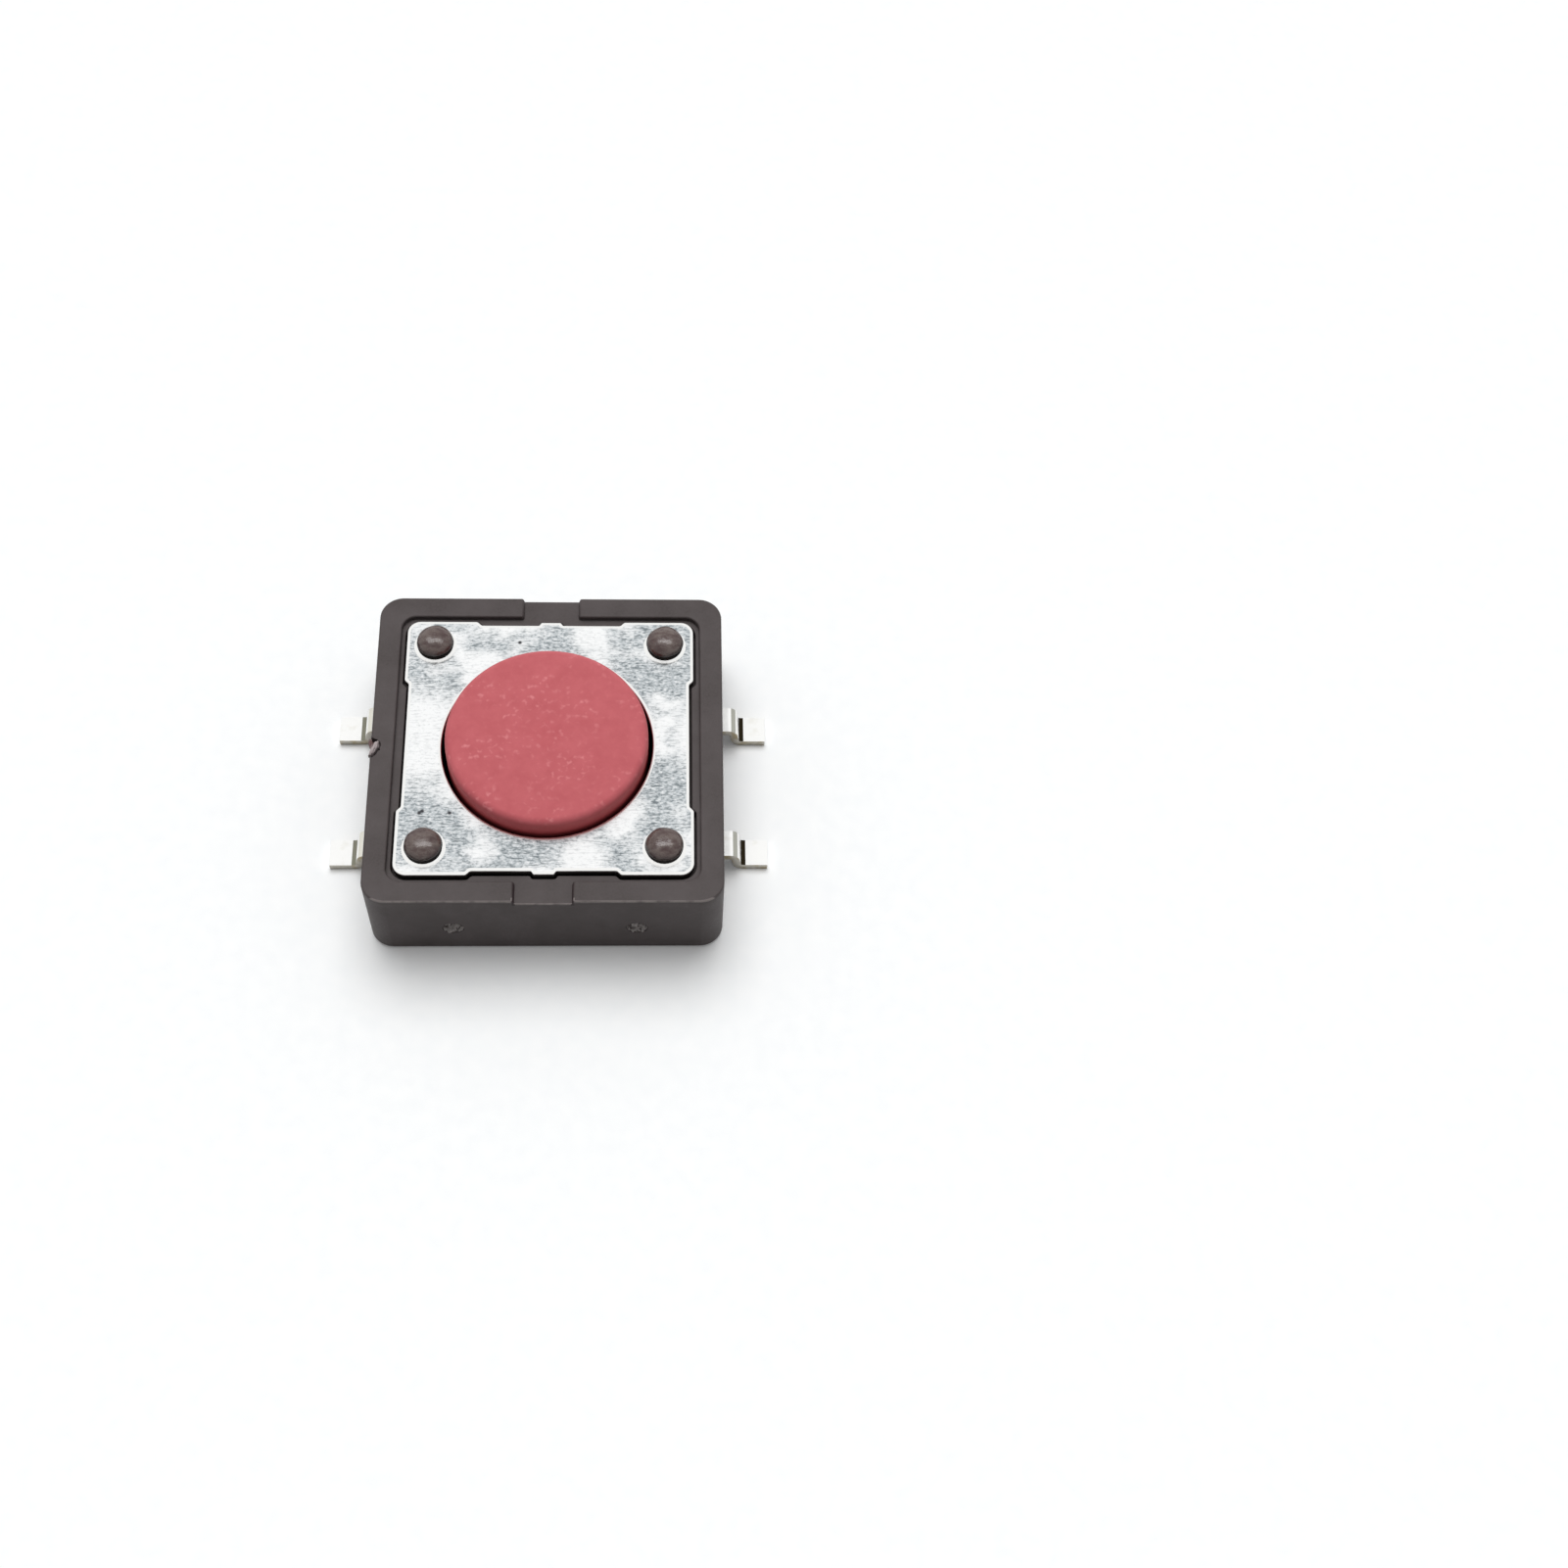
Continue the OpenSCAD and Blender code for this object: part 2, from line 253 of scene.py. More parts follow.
def turn(bm: BMesh, ring: Edges, radius: float, stations: Stations, at: Point,
         facing: Vector = UP, closed: bool = True) -> Edges:
    """Draws a ring out along its axis through a few stations, as a lathe would.

    Args:
        bm: The mesh.
        ring: The ring to start from.
        radius: That ring's radius.
        stations: Radius and distance along the axis of each further ring.
        at: The axis' starting point.
        facing: The axis' direction.
        closed: Whether the last ring gets a cap.

    Returns:
        The last ring's edges.
    """
    was_r, was_h = radius, 0.0
    turned = facing.to_track_quat("Z", "Y").to_matrix().to_4x4()
    for r, h in stations:
        ring = pull(bm, ring, facing * (h - was_h))
        verts = list({v for e in ring for v in e.verts})
        space = (Matrix.Translation(Vector(at)) @ turned).inverted()
        bmesh.ops.scale(bm, vec=(r / was_r, r / was_r, 1), space=space, verts=verts)
        was_r, was_h = r, h
    if closed:
        bmesh.ops.contextual_create(bm, geom=ring)
    return ring


def lathe(bm: BMesh, section: list[Point], segments: int, steps: int) -> None:
    """Spins a closed section about the button's axis.

    Args:
        bm: The mesh that takes it.
        section: Radius, height and rounding of each corner of the section.
        segments: Steps in each rounded corner.
        steps: Steps in the full turn.
    """
    edges = wire(bm, [(r, 0, z, rounding) for r, z, rounding in section], segments)
    on_axis = [e for e in edges if all(v.co.x < TINY for v in e.verts)]
    bmesh.ops.delete(bm, geom=on_axis, context="EDGES")
    edges = [e for e in edges if e.is_valid]
    verts = list({v for e in edges for v in e.verts})
    bmesh.ops.spin(bm, geom=verts + edges, cent=(0, 0, 0), axis=UP, dvec=(0, 0, 0),
                   angle=FULL_TURN, steps=steps, use_merge=True, use_duplicate=False)


def round_edges(bm: BMesh, edges: Edges, width: float, segments: int) -> None:
    """Rounds some edges of a mesh with a bevel of this width."""
    bmesh.ops.bevel(bm, geom=edges, offset=width, offset_type="OFFSET", affect="EDGES",
                    segments=segments, profile=0.5, material=-1, clamp_overlap=False)


def corner_edges(bm: BMesh, least_deg: float) -> Edges:
    """Finds the outward edges at which a mesh turns by more than this angle."""
    return [e for e in bm.edges
            if len(e.link_faces) == 2 and e.is_convex and e.calc_face_angle() > math.radians(least_deg)]


def lump(bm: BMesh, at: Point, size: Point, turned: float = 0, slot: int = 0) -> None:
    """Adds a ragged lump to a mesh.

    Args:
        bm: The mesh.
        at: The lump's centre.
        size: Its half length, half width and half height.
        turned: Its turn about the upright axis, in degrees.
        slot: Number of its material.
    """
    verts = bmesh.ops.create_icosphere(bm, subdivisions=4, radius=1)["verts"]
    for vert in verts:
        vert.co *= 1 + RAGGED * noise.fractal(vert.co * RAGGED_GRAIN + Vector(at), 0.8, 2.0, 3)
    place = (Matrix.Translation(at) @ Matrix.Rotation(math.radians(turned), 4, "Z")
             @ Matrix.Diagonal((*size, 1)))
    bmesh.ops.transform(bm, matrix=place, verts=verts)
    for face in {f for v in verts for f in v.link_faces}:
        face.material_index = slot


def outward(bm: BMesh) -> None:
    """Closes a mesh's seams and turns all its faces outwards."""
    bmesh.ops.remove_doubles(bm, verts=bm.verts, dist=TINY)
    bmesh.ops.recalc_face_normals(bm, faces=bm.faces)


def finished(bm: BMesh, name: str, materials: list[Material], crease_deg: float = 34) -> Object:
    """Turns a mesh in millimetres into a piece in metres, shaded smooth up to its creases.

    Args:
        bm: The mesh, which is used up.
        name: The piece's name.
        materials: Its materials, in the order of its faces' indices.
        crease_deg: The angle past which an edge stays a crease.

    Returns:
        The piece.
    """
    for face in bm.faces:
        face.smooth = True
    for edge in bm.edges:
        edge.smooth = len(edge.link_faces) == 2 and edge.calc_face_angle() < math.radians(crease_deg)
    bmesh.ops.scale(bm, vec=(MM, MM, MM), verts=bm.verts)
    open_edges = sum(not e.is_manifold for e in bm.edges)
    mesh = bpy.data.meshes.new(name)
    bm.to_mesh(mesh)
    bm.free()
    for material in materials:
        mesh.materials.append(material)
    piece = bpy.data.objects.new(name, mesh)
    bpy.context.scene.collection.objects.link(piece)
    weighted = piece.modifiers.new("weighted_normals", "WEIGHTED_NORMAL")
    weighted.keep_sharp = True
    log.info("%s: %d faces, %d open edges", name, len(mesh.polygons), open_edges)
    return piece


# Sizes that more than one piece uses.


@dataclass(frozen=True)
class Layout:
    """Shared sizes, in millimetres from the middle of the footprint and up from the board."""

    half: float = 6.0
    rim_z: float = 3.5
    ledge_z: float = 3.3
    notch_half: float = 0.95
    notch_slope: float = 0.05
    plate_z: float = 3.2
    plate_half: float = 5.0
    post_at: float = 4.0
    head_r: float = 0.64
    hole_r: float = 3.6
    well_r: float = 4.25
    dome_seat_r: float = 3.75
    step_z: float = 1.35
    floor_z: float = 1.2
    contact_z: float = 1.25
    strip_y: float = 2.5
    strip_z: float = 0.7
    strip_top: float = 1.0
    dimple_at: float = 3.4
    dimple_deg: float = 15.0
    dimple_r: float = 0.3
    centre_dimple_r: float = 0.5

    def dome_dimples(self) -> list[tuple[float, float]]:
        """Gives the places of the four dimples that carry the dome.

        Returns:
            The x and y of each.
        """
        angles = [middle + side * self.dimple_deg for middle in (0, 180) for side in (-1, 1)]
        return [(self.dimple_at * math.cos(math.radians(a)), self.dimple_at * math.sin(math.radians(a)))
                for a in angles]

    def posts(self) -> list[tuple[float, float]]:
        """Gives the places of the four staked posts."""
        return [(x * self.post_at, y * self.post_at) for x in (-1, 1) for y in (-1, 1)]


LAYOUT = Layout()


@dataclass(frozen=True)
class PlateOutline:
    """Outline of the cover plate: a rounded square with a recess in each side and two tabs."""

    corner_r: float = 0.45
    recess_len: float = 5.15
    recess_depth: float = 0.15
    tab_w: float = 0.85
    tab_tip_w: float = 0.68
    tab_h: float = 0.12
    nick_r: float = 0.05
    segments: int = 8

    def draw(self, bm: BMesh, grow: float, z: float) -> Edges:
        """Draws the outline as a wire.

        Args:
            bm: The mesh that takes it.
            grow: Distance by which it stands outside the plate's own edge.
            z: Its height.

        Returns:
            The wire's edges.
        """
        outer = LAYOUT.plate_half + grow
        floor = outer - self.recess_depth
        slope = math.atan2(self.tab_h, (self.tab_w - self.tab_tip_w) / 2)
        end = self.recess_len / 2 - grow * math.tan(math.radians(22.5))
        root = self.tab_w / 2 + grow * math.tan(slope / 2)
        tip = self.tab_tip_w / 2 + grow * math.tan(slope / 2)
        quarter = [(floor, 0, 0), (floor, end - self.recess_depth, self.nick_r),
                   (outer, end, self.nick_r), (outer, outer, self.corner_r + grow),
                   (end, outer, self.nick_r), (end - self.recess_depth, floor, self.nick_r),
                   (root, floor, self.nick_r / 2), (tip, floor + self.tab_h, self.nick_r / 2),
                   (0, floor + self.tab_h, 0)]
        upper = quarter + [(-x, y, r) for x, y, r in reversed(quarter[:-1])]
        corners = upper + [(x, -y, r) for x, y, r in reversed(upper[1:-1])]
        return wire(bm, [(x, y, z, r) for x, y, r in corners], self.segments)


PLATE_OUTLINE = PlateOutline()


# Finishes. Lengths are in millimetres here too, and MM turns them to the metres of the coordinates.


def linear(code: str) -> tuple[float, float, float, float]:
    """Turns an sRGB hex colour such as "#c66c6e" into linear red, green, blue and alpha.

    Args:
        code: The colour.

    Returns:
        Its linear red, green, blue and alpha.
    """
    shares = [int(code[i:i + 2], 16) / 255 for i in (1, 3, 5)]
    turned = [c / 12.92 if c <= 0.04045 else ((c + 0.055) / 1.055) ** 2.4 for c in shares]
    return (*turned, 1.0)


def add(tree: Tree, kind: str, inputs: dict[str, Any] | list[Any] | None = None,
        output: str | None = None, **settings: Any) -> Socket | None:
    """Adds a node with its settings, its values and its links.

    Args:
        tree: The node tree.
        kind: The node's type, without the word ShaderNode in front.
        inputs: A value, a hex colour or a socket to link from, for each input by name, or for the
            live ones in order.
        output: Name of the wanted output, where that isn't the first live one.
        **settings: The node's own properties.

    Returns:
        The output.
    """
    node = tree.nodes.new("ShaderNode" + kind)
    for key, value in settings.items():
        setattr(node, key, value)
    if isinstance(inputs, dict):
        pairs = [(node.inputs[key], value) for key, value in inputs.items()]
    else:
        pairs = list(zip([s for s in node.inputs if s.enabled], inputs or []))
    for socket, value in pairs:
        if isinstance(value, Socket):
            tree.links.new(value, socket)
        else:
            socket.default_value = linear(value) if isinstance(value, str) else value
    return node.outputs[output] if output else next((s for s in node.outputs if s.enabled), None)


def along(tree: Tree, axis: str, of: str = "Object") -> Socket:
    """Measures places on a piece, or the surface's Normal, along one axis."""
    return add(tree, "SeparateXYZ", [add(tree, "TexCoord", output=of)], output=axis)


def away(tree: Tree, at: Point) -> Socket:
    """Measures how far places on a piece are from one that is given in millimetres."""
    place = add(tree, "TexCoord", output="Object")
    return add(tree, "VectorMath", [place, [c * MM for c in at]], operation="DISTANCE")


def overlap(tree: Tree, *masks: tuple[Any, ...]) -> Socket:
    """Multiplies masks.

    Args:
        tree: The node tree.
        *masks: A value, the ends of its range, and what they become where that isn't 0 and 1.

    Returns:
        The share that all of them leave.
    """
    shares = [add(tree, "MapRange", list(mask)) for mask in masks]
    while len(shares) > 1:
        shares.append(add(tree, "Math", [shares.pop(), shares.pop()], operation="MULTIPLY"))
    return shares[0]


def layered(tree: Tree, base: Any, *layers: tuple[Any, ...]) -> Any:
    """Lays colours over a first one.

    Args:
        tree: The node tree.
        base: The first colour.
        *layers: A value, where in its range the layer starts and where it covers, its colour, and the most
            that it covers where that is less than 1.

    Returns:
        The resulting colour.
    """
    for value, bare, covered, colour, *most in layers:
        share = overlap(tree, (value, bare, covered, 0, *(most or [1])))
        base = add(tree, "Mix", [share, base, colour], data_type="RGBA")
    return base


def shade(tree: Tree, colour: Any, roughness: Any, bumps: Socket | None, depth: float,
          **sockets: Any) -> None:
    """Adds the surface shader and the output.

    Args:
        tree: The node tree.
        colour: Base colour.
        roughness: Roughness, or its two values at the lows and the highs of the texture.
        bumps: Height of the surface's texture, or None where it is plain.
        depth: Depth of that texture in millimetres.
        **sockets: Further inputs of the shader, with _ for each space.
    """
    if isinstance(roughness, tuple):
        roughness = overlap(tree, (bumps, 0.3, 0.7, *roughness))
    inputs = {"Base Color": colour, "Roughness": roughness}
    inputs.update({key.replace("_", " "): value for key, value in sockets.items()})
    if bumps is not None:
        inputs["Normal"] = add(tree, "Bump", {"Height": bumps, "Distance": depth * MM, "Strength": 1.0})
    add(tree, "OutputMaterial", [add(tree, "BsdfPrincipled", inputs)])


@dataclass(frozen=True)
class Grain:
    """A noise whose features are this many millimetres wide, drawn out along each axis by these shares."""

    size: float
    detail: float = 2
    roughness: float = 0.5
    stretch: Point = (1, 1, 1)

    def draw(self, tree: Tree) -> Socket:
        """Draws it on the piece's own coordinates.

        Args:
            tree: The finish's node tree.

        Returns:
            Its value.
        """
        place = add(tree, "TexCoord", output="Object")
        place = add(tree, "Mapping", {"Vector": place, "Scale": [1 / s for s in self.stretch]})
        return add(tree, "TexNoise", [place, 1 / (self.size * MM), self.detail, self.roughness])


@dataclass(frozen=True)
class Finish:
    """A material, named for what the real one is and for how its surface was made."""

    name: str

    def build(self) -> Material:
        """Makes the material and paints it.

        Returns:
            The material.
        """
        material = bpy.data.materials.new(self.name)
        material.use_nodes = True
        material.node_tree.nodes.clear()
        self.paint(material.node_tree)
        return material

    def paint(self, tree: Tree) -> None:
        """Adds the finish's own nodes to its empty tree."""
        raise NotImplementedError


@dataclass(frozen=True)
class Patched(Finish):
    """A finish of one colour, with patches of a second one where it has that, under a fine texture."""

    colour: str
    roughness: float | tuple[float, float]
    texture: Grain
    depth: float
    patch: str = ""
    patches: Grain | None = None
    bare: float = 0.35
    covered: float = 0.65
    metal: bool = True
    ior: float = 1.5
    specular: float = 0.5
    clear: float = 0

    def paint(self, tree: Tree) -> None:
        """Lays the patches over the colour, and the texture over both.

        Args:
            tree: The finish's node tree.
        """
        texture, colour = self.texture.draw(tree), self.colour
        if self.patch:
            patches = self.patches.draw(tree) if self.patches else texture
            colour = layered(tree, colour, (patches, self.bare, self.covered, self.patch))
        shade(tree, colour, self.roughness, texture, self.depth, Metallic=float(self.metal), IOR=self.ior,
              Specular_IOR_Level=self.specular, Transmission_Weight=self.clear)


# The nylon round each melted head's foot, under its overhang: painted shade, dull and nearly black, faintly
# crusted.
SHADED_FOOT_NYLON = Patched("dark_nylon_shaded_foot", "#0b0808", 0.8, Grain(0.1, 3, 0.6), 0.01, patch="#1d1614",
                        bare=0.45, metal=False, ior=1.53, specular=0.08)
# The faint drag of the punch along the steel sheet's cut edge.
CUT_DRAG = Grain(0.05, 1, stretch=(1, 1, 6))
# The steel sheet's edge where the punch has gone in: burnished to a shine.
BURNISHED_STEEL = Patched("stainless_steel_edge_burnished", "#f6f6f4", 0.28, CUT_DRAG, 0.001)
# The steel sheet's edge where the punch has torn through: dragged, and painted nearly black as shade, for the
# dark housing that it faces.
SHADED_SHEARED_STEEL = Patched("stainless_steel_edge_sheared_shaded", "#3a3836", 0.6, CUT_DRAG, 0.001)
# Brass strip with thin silver plating: nearly white, softly shining, a little dulled in patches.
SILVER_PLATE = Patched("brass_strip_silver_plated", "#fdfdfb", (0.3, 0.42), Grain(0.06, stretch=(4, 1, 1)),
                       0.001, patch="#eceae2", patches=Grain(0.5, 3), bare=0.58, covered=0.85)
# The brass strip's cut sides, half bare of plating: silvery grey, with brown brass showing through.
BRASS_EDGE = Patched("brass_strip_edge_sheared", "#bbb7ae", 0.45, Grain(0.08, stretch=(1, 1, 5)), 0.001,
                     patch="#a39678", patches=Grain(0.35), bare=0.48, covered=0.68)
# Amber polyimide film with its adhesive: glossy, half clear, with faint streaks from casting.
AMBER_FILM = Patched("polyimide_film_amber", "#c98a2b", 0.22, Grain(0.3, stretch=(6, 1, 1)), 0.001,
                     patch="#b3741f", metal=False, ior=1.6, clear=0.5)


@dataclass(frozen=True)
class MouldedNylon(Finish):
    """Dark brown glass-filled nylon from the mould: matt, mottled where the glass lies, with a painted
    highlight along its front top edge and painted shade on its front notch's side walls.
    """

    name: str = "dark_glass_filled_nylon_moulded"
    brown: str = "#3c3534"
    lighter: str = "#4b4444"
    # The pale line painted along the front's rounded top edge: a painted highlight.
    worn: str = "#7f7775"
    # Painted shade on the front notch's two side walls.
    notch_shade: str = "#312628"
    highlight_y: float = -5.82
    notch_shade_y: float = -5.2
    soft: float = 0.04

    def paint(self, tree: Tree) -> None:
        """Mottles the brown, paints a highlight along the front top edge and paints shade on the notch's side
        walls.

        Args:
            tree: The finish's node tree.
        """
        mottle = Grain(1.4, 4, 0.6).draw(tree)
        # The mould's spark-eroded grain is about 0.02 mm, drawn at 0.09 mm so that it shows.
        fine = Grain(0.09, 3).draw(tree)
        edge, notch = self._front_highlight_and_shade(tree)
        # Over the mottle: the front edge's painted highlight, then the notch walls' painted shade.
        colour = layered(tree, self.brown, (mottle, 0.35, 0.65, self.lighter),
                         (fine, 0.35, 0.65, self.lighter, 0.6), (edge, 0, 1, self.worn),
                         (notch, 0, 1, self.notch_shade))
        roughness = add(tree, "Mix", [edge, overlap(tree, (fine, 0.3, 0.7, 0.5, 0.62)), 0.3])
        shade(tree, colour, roughness, fine, 0.004, IOR=1.53, Specular_IOR_Level=0.24)

    def _front_highlight_and_shade(self, tree: Tree) -> tuple[Socket, Socket]:
        """Masks the front's rounded top edge, for its painted highlight, and the notch's two side walls, for
        their painted shade.

        Args:
            tree: The finish's node tree.

        Returns:
            The edge's mask and the notch's.
        """
        tilt, y, z = along(tree, "Z", "Normal"), along(tree, "Y"), along(tree, "Z")
        aside = add(tree, "Math", [along(tree, "X")], operation="ABSOLUTE")
        high = (z, LAYOUT.plate_z * MM, (LAYOUT.plate_z + self.soft) * MM)
        # The band along the front's top edge that takes the painted highlight.
        rubbed = (y, self.highlight_y * MM, (self.highlight_y - self.soft) * MM)
        edge = overlap(tree, high, rubbed, (tilt, 0.1, 0.3), (tilt, 0.99, 0.93),
                       (Grain(0.3).draw(tree), 0.3, 0.55, 0.45, 1))
        # The notch's two side walls, which take the painted shade.
        inner, outer = LAYOUT.notch_half, LAYOUT.notch_half + LAYOUT.notch_slope
        notch = overlap(tree, high, (aside, (inner - 0.05) * MM, (inner - 0.02) * MM),
                        (aside, (outer + 0.05) * MM, (outer + 0.02) * MM), (tilt, 0.8, 0.55),
                        (y, self.notch_shade_y * MM, (self.notch_shade_y - 0.15) * MM))
        return edge, notch


@dataclass(frozen=True)
class TornNylon(Finish):
    """The same nylon where it has torn: rough, whitened on its ridges and most of all on the lifted flake."""

    name: str = "dark_nylon_torn"
    brown: str = "#3f3736"
    whitened: str = "#8d8583"
    ridges_from: float = 0.47
    flake: str = "#aca1a1"
    flake_at: Point = (-5.87, -0.06, 3.5)
    flap: str = "#6b5352"
    flap_at: Point = (-6.02, 0.11, 3.32)

    def paint(self, tree: Tree) -> None:
        """Whitens the ridges, the flake and the flap.

        Args:
            tree: The finish's node tree.
        """
        ridges, low = Grain(0.17, 3, 0.6).draw(tree), self.ridges_from
        colour = layered(tree, self.brown, (ridges, low, low + 0.13, self.whitened),
                         (away(tree, self.flake_at), 0.45 * MM, 0.3 * MM, self.flake),
                         (away(tree, self.flap_at), 0.22 * MM, 0.12 * MM, self.flap))
        shade(tree, colour, 0.7, ridges, 0.03, IOR=1.53, Specular_IOR_Level=0.3)


@dataclass(frozen=True)
class StakedNylon(Finish):
    """The same nylon where a hot tool has melted the posts: a smooth, greyed, lumpy skin, painted near black
    below as the shade under its overhang.
    """

    name: str = "dark_nylon_heat_staked"
    brown: str = "#422b29"
    greyed: str = "#665954"
    # Painted shade under the head's overhang.
    under_head_shade: str = "#0b0808"

    def paint(self, tree: Tree) -> None:
        """Greys the lumps and paints shade over the foot of the head.

        Args:
            tree: The finish's node tree.
        """
        lumps = Grain(0.2, 3, 0.6, (1.8, 1, 1)).draw(tree)
        # Towards its foot the head is painted near black: painted shade under the overhang.
        colour = layered(tree, self.brown, (lumps, 0.36, 0.66, self.greyed),
                         (along(tree, "Z"), 3.9 * MM, 3.7 * MM, self.under_head_shade))
        shade(tree, colour, (0.2, 0.32), lumps, 0.02, IOR=1.53, Specular_IOR_Level=0.5)


@dataclass(frozen=True)
class RolledSteel(Finish):
    """Bright rolled stainless sheet, stamped and tumbled: grey patches and brighter ones, painted as reflection
    of the room, under a fine speckle.
    """

    name: str = "stainless_steel_sheet_rolled"
    bright: str = "#fcfdfd"
    grey: str = "#c5cbce"
    dark: str = "#7b8387"
    mark: str = "#4a4a4d"
    # Places painted brighter as reflection, as x, y and reach.
    reflection_spots: tuple[Point, ...] = ((-4.4, 0.3, 2.6), (1.4, 4.4, 0.9), (1.3, -4.4, 1.1), (5.6, 0.4, 2.0))
    # Dark scratches and specks.
    marks: tuple[tuple[float, float], ...] = ((-4.21, -2.67), (-4.12, -2.6), (-3.2, -2.67), (-1.07, 4.13))

    def paint(self, tree: Tree) -> None:
        """Lays the speckle, drawn out along X, over the patches, fainter where they are painted bright as
        reflection.

        Args:
            tree: The finish's node tree.
        """
        # The rolled texture is about 0.03 mm across, drawn at 0.08 mm so that it shows.
        speckle = Grain(0.08, 3, 0.7, (1.8, 1, 1)).draw(tree)
        dashes = Grain(0.065, 3, stretch=(6, 1, 1)).draw(tree)
        # The brighter patches, from a noise and from the listed places, are painted reflection.
        shine = overlap(tree, (Grain(1.5, 2, 0.55, (1.2, 1, 1)).draw(tree), 0.46, 0.62))
        for x, y, reach in self.reflection_spots:
            rubbed = overlap(tree, (away(tree, (x, y, LAYOUT.rim_z)), reach * MM, reach * 0.5 * MM))
            shine = add(tree, "Math", [shine, rubbed], operation="MAXIMUM")
        calm = (shine, 0, 1, 1, 0.2)
        colour = layered(tree, self.grey, (shine, 0, 1, self.bright), (speckle, 0.5, 0.7, self.bright, 0.9),
                         (overlap(tree, calm, (speckle, 0.48, 0.36, 0, 0.9)), 0, 1, self.dark),
                         (overlap(tree, calm, (dashes, 0.45, 0.34, 0, 0.9)), 0, 1, self.dark),
                         *((away(tree, (x, y, LAYOUT.rim_z)), 0.09 * MM, 0.04 * MM, self.mark)
                           for x, y in self.marks))
        height = add(tree, "Math", [speckle, dashes], operation="ADD")
        roughness = overlap(tree, (speckle, 0.3, 0.7, 0.36, 0.26))
        shade(tree, colour, roughness, height, 0.002, Metallic=1.0)


@dataclass(frozen=True)
class MattRedNylon(Finish):
    """Red nylon from a textured mould: matt, mottled and specked, with painted shade deepening its wall and
    darkening its foot in the gap at the plate.
    """

    name: str = "red_nylon_moulded_matt"
    red: str = "#c46268"
    deep: str = "#bc5a60"
    speck: str = "#d98488"
    # The wall's deeper red: painted shade.
    side: str = "#b84c50"
    # Dark red below the plate's top: painted shade in the gap.
    gap_shade: str = "#7a2a2e"

    def paint(self, tree: Tree) -> None:
        """Mottles and specks the red, then paints shade on the wall and in the gap at the plate.

        Args:
            tree: The finish's node tree.
        """
        mottle = Grain(0.7, 4, 0.6).draw(tree)
        # The mould's texture is about 0.03 mm, drawn at 0.1 mm so that it shows.
        fine = Grain(0.1).draw(tree)
        specks = overlap(tree, (Grain(0.2, 1).draw(tree), 0.56, 0.73),
                         (Grain(1.3).draw(tree), 0.45, 0.62, 0.1, 0.8))
        # The wall's colour and the dark red at the plate are painted shade.
        colour = layered(tree, self.deep, (mottle, 0.35, 0.65, self.red), (specks, 0, 1, self.speck),
                         (along(tree, "Z", "Normal"), 0.7, 0.1, self.side),
                         (along(tree, "Z"), 3.5 * MM, 3.25 * MM, self.gap_shade))
        shade(tree, colour, (0.52, 0.64), fine, 0.003, IOR=1.53, Specular_IOR_Level=0.35)


@dataclass(frozen=True)
class BendDarkenedSilver(Finish):
    """The plating in the bends: darker in the hollow one, and painted greyer over the outer one, as its
    reflection.
    """

    name: str = "silver_plating_darkened_in_bends"
    olive: str = "#8b8a7c"
    hollow_dark: str = "#2c2519"
    # The outer bend's cream and grey are painted reflection.
    cream: str = "#e4e2d8"
    outer_grey: str = "#b0b0a7"

    def paint(self, tree: Tree) -> None:
        """Darkens the left leads less than the right ones, and the hollows the most; the outer bend's colours
        are painted reflection.

        Args:
            tree: The finish's node tree.
        """
        right = (along(tree, "X"), -MM, MM)
        hollow, outer = (layered(tree, left, (*right, other))
                         for left, other in ((self.olive, self.hollow_dark), (self.cream, self.outer_grey)))
        colour = layered(tree, hollow, (along(tree, "Z"), 0.42 * MM, 0.5 * MM, outer))
        shade(tree, colour, 0.5, None, 0, Metallic=1.0)


@dataclass(frozen=True)
class DomeSteel(Finish):
    """Spring steel, plated with silver and pressed to a dome: bright, with rings and a rubbed middle."""

    name: str = "spring_steel_silver_plated"
    silver: str = "#dedcd6"
    rubbed: str = "#b9b7b0"

    def paint(self, tree: Tree) -> None:
        """Rubs the middle and leaves the rings of the pressing.

        Args:
            tree: The finish's node tree.
        """
        place = add(tree, "TexCoord", output="Object")
        rings = add(tree, "TexWave", {"Vector": place, "Scale": 1 / (1.2 * MM), "Distortion": 1.5}, "Fac",
                    wave_type="RINGS", rings_direction="Z")
        worn = overlap(tree, (away(tree, (0, 0, 1.6)), 1.4 * MM, 0.5 * MM), (Grain(0.2, 3).draw(tree), 0, 1))
        shade(tree, layered(tree, self.silver, (worn, 0, 1, self.rubbed)),
              overlap(tree, (rings, 0, 1, 0.24, 0.34)), rings, 0.001, Metallic=1.0)


@dataclass(frozen=True)
class WhitePaper(Finish):
    """The matt white paper that the switch stands on: even, with a hardly visible fibre."""

    name: str = "white_paper_matt"
    white: str = "#fbfcfc"
    shaded: str = "#f6f8f9"
    lift: float = 0.085

    def paint(self, tree: Tree) -> None:
        """Shades the fibre, and lifts the paper a little for the camera alone.

        Args:
            tree: The finish's node tree.
        """
        colour = layered(tree, self.white, (Grain(0.5, 4).draw(tree), 0.3, 0.7, self.shaded))
        lift = overlap(tree, (add(tree, "LightPath", output="Is Camera Ray"), 0, 1, 0, self.lift))
        shade(tree, colour, 0.8, None, 0, Specular_IOR_Level=0.1, Emission_Strength=lift)


# The switch's pieces.


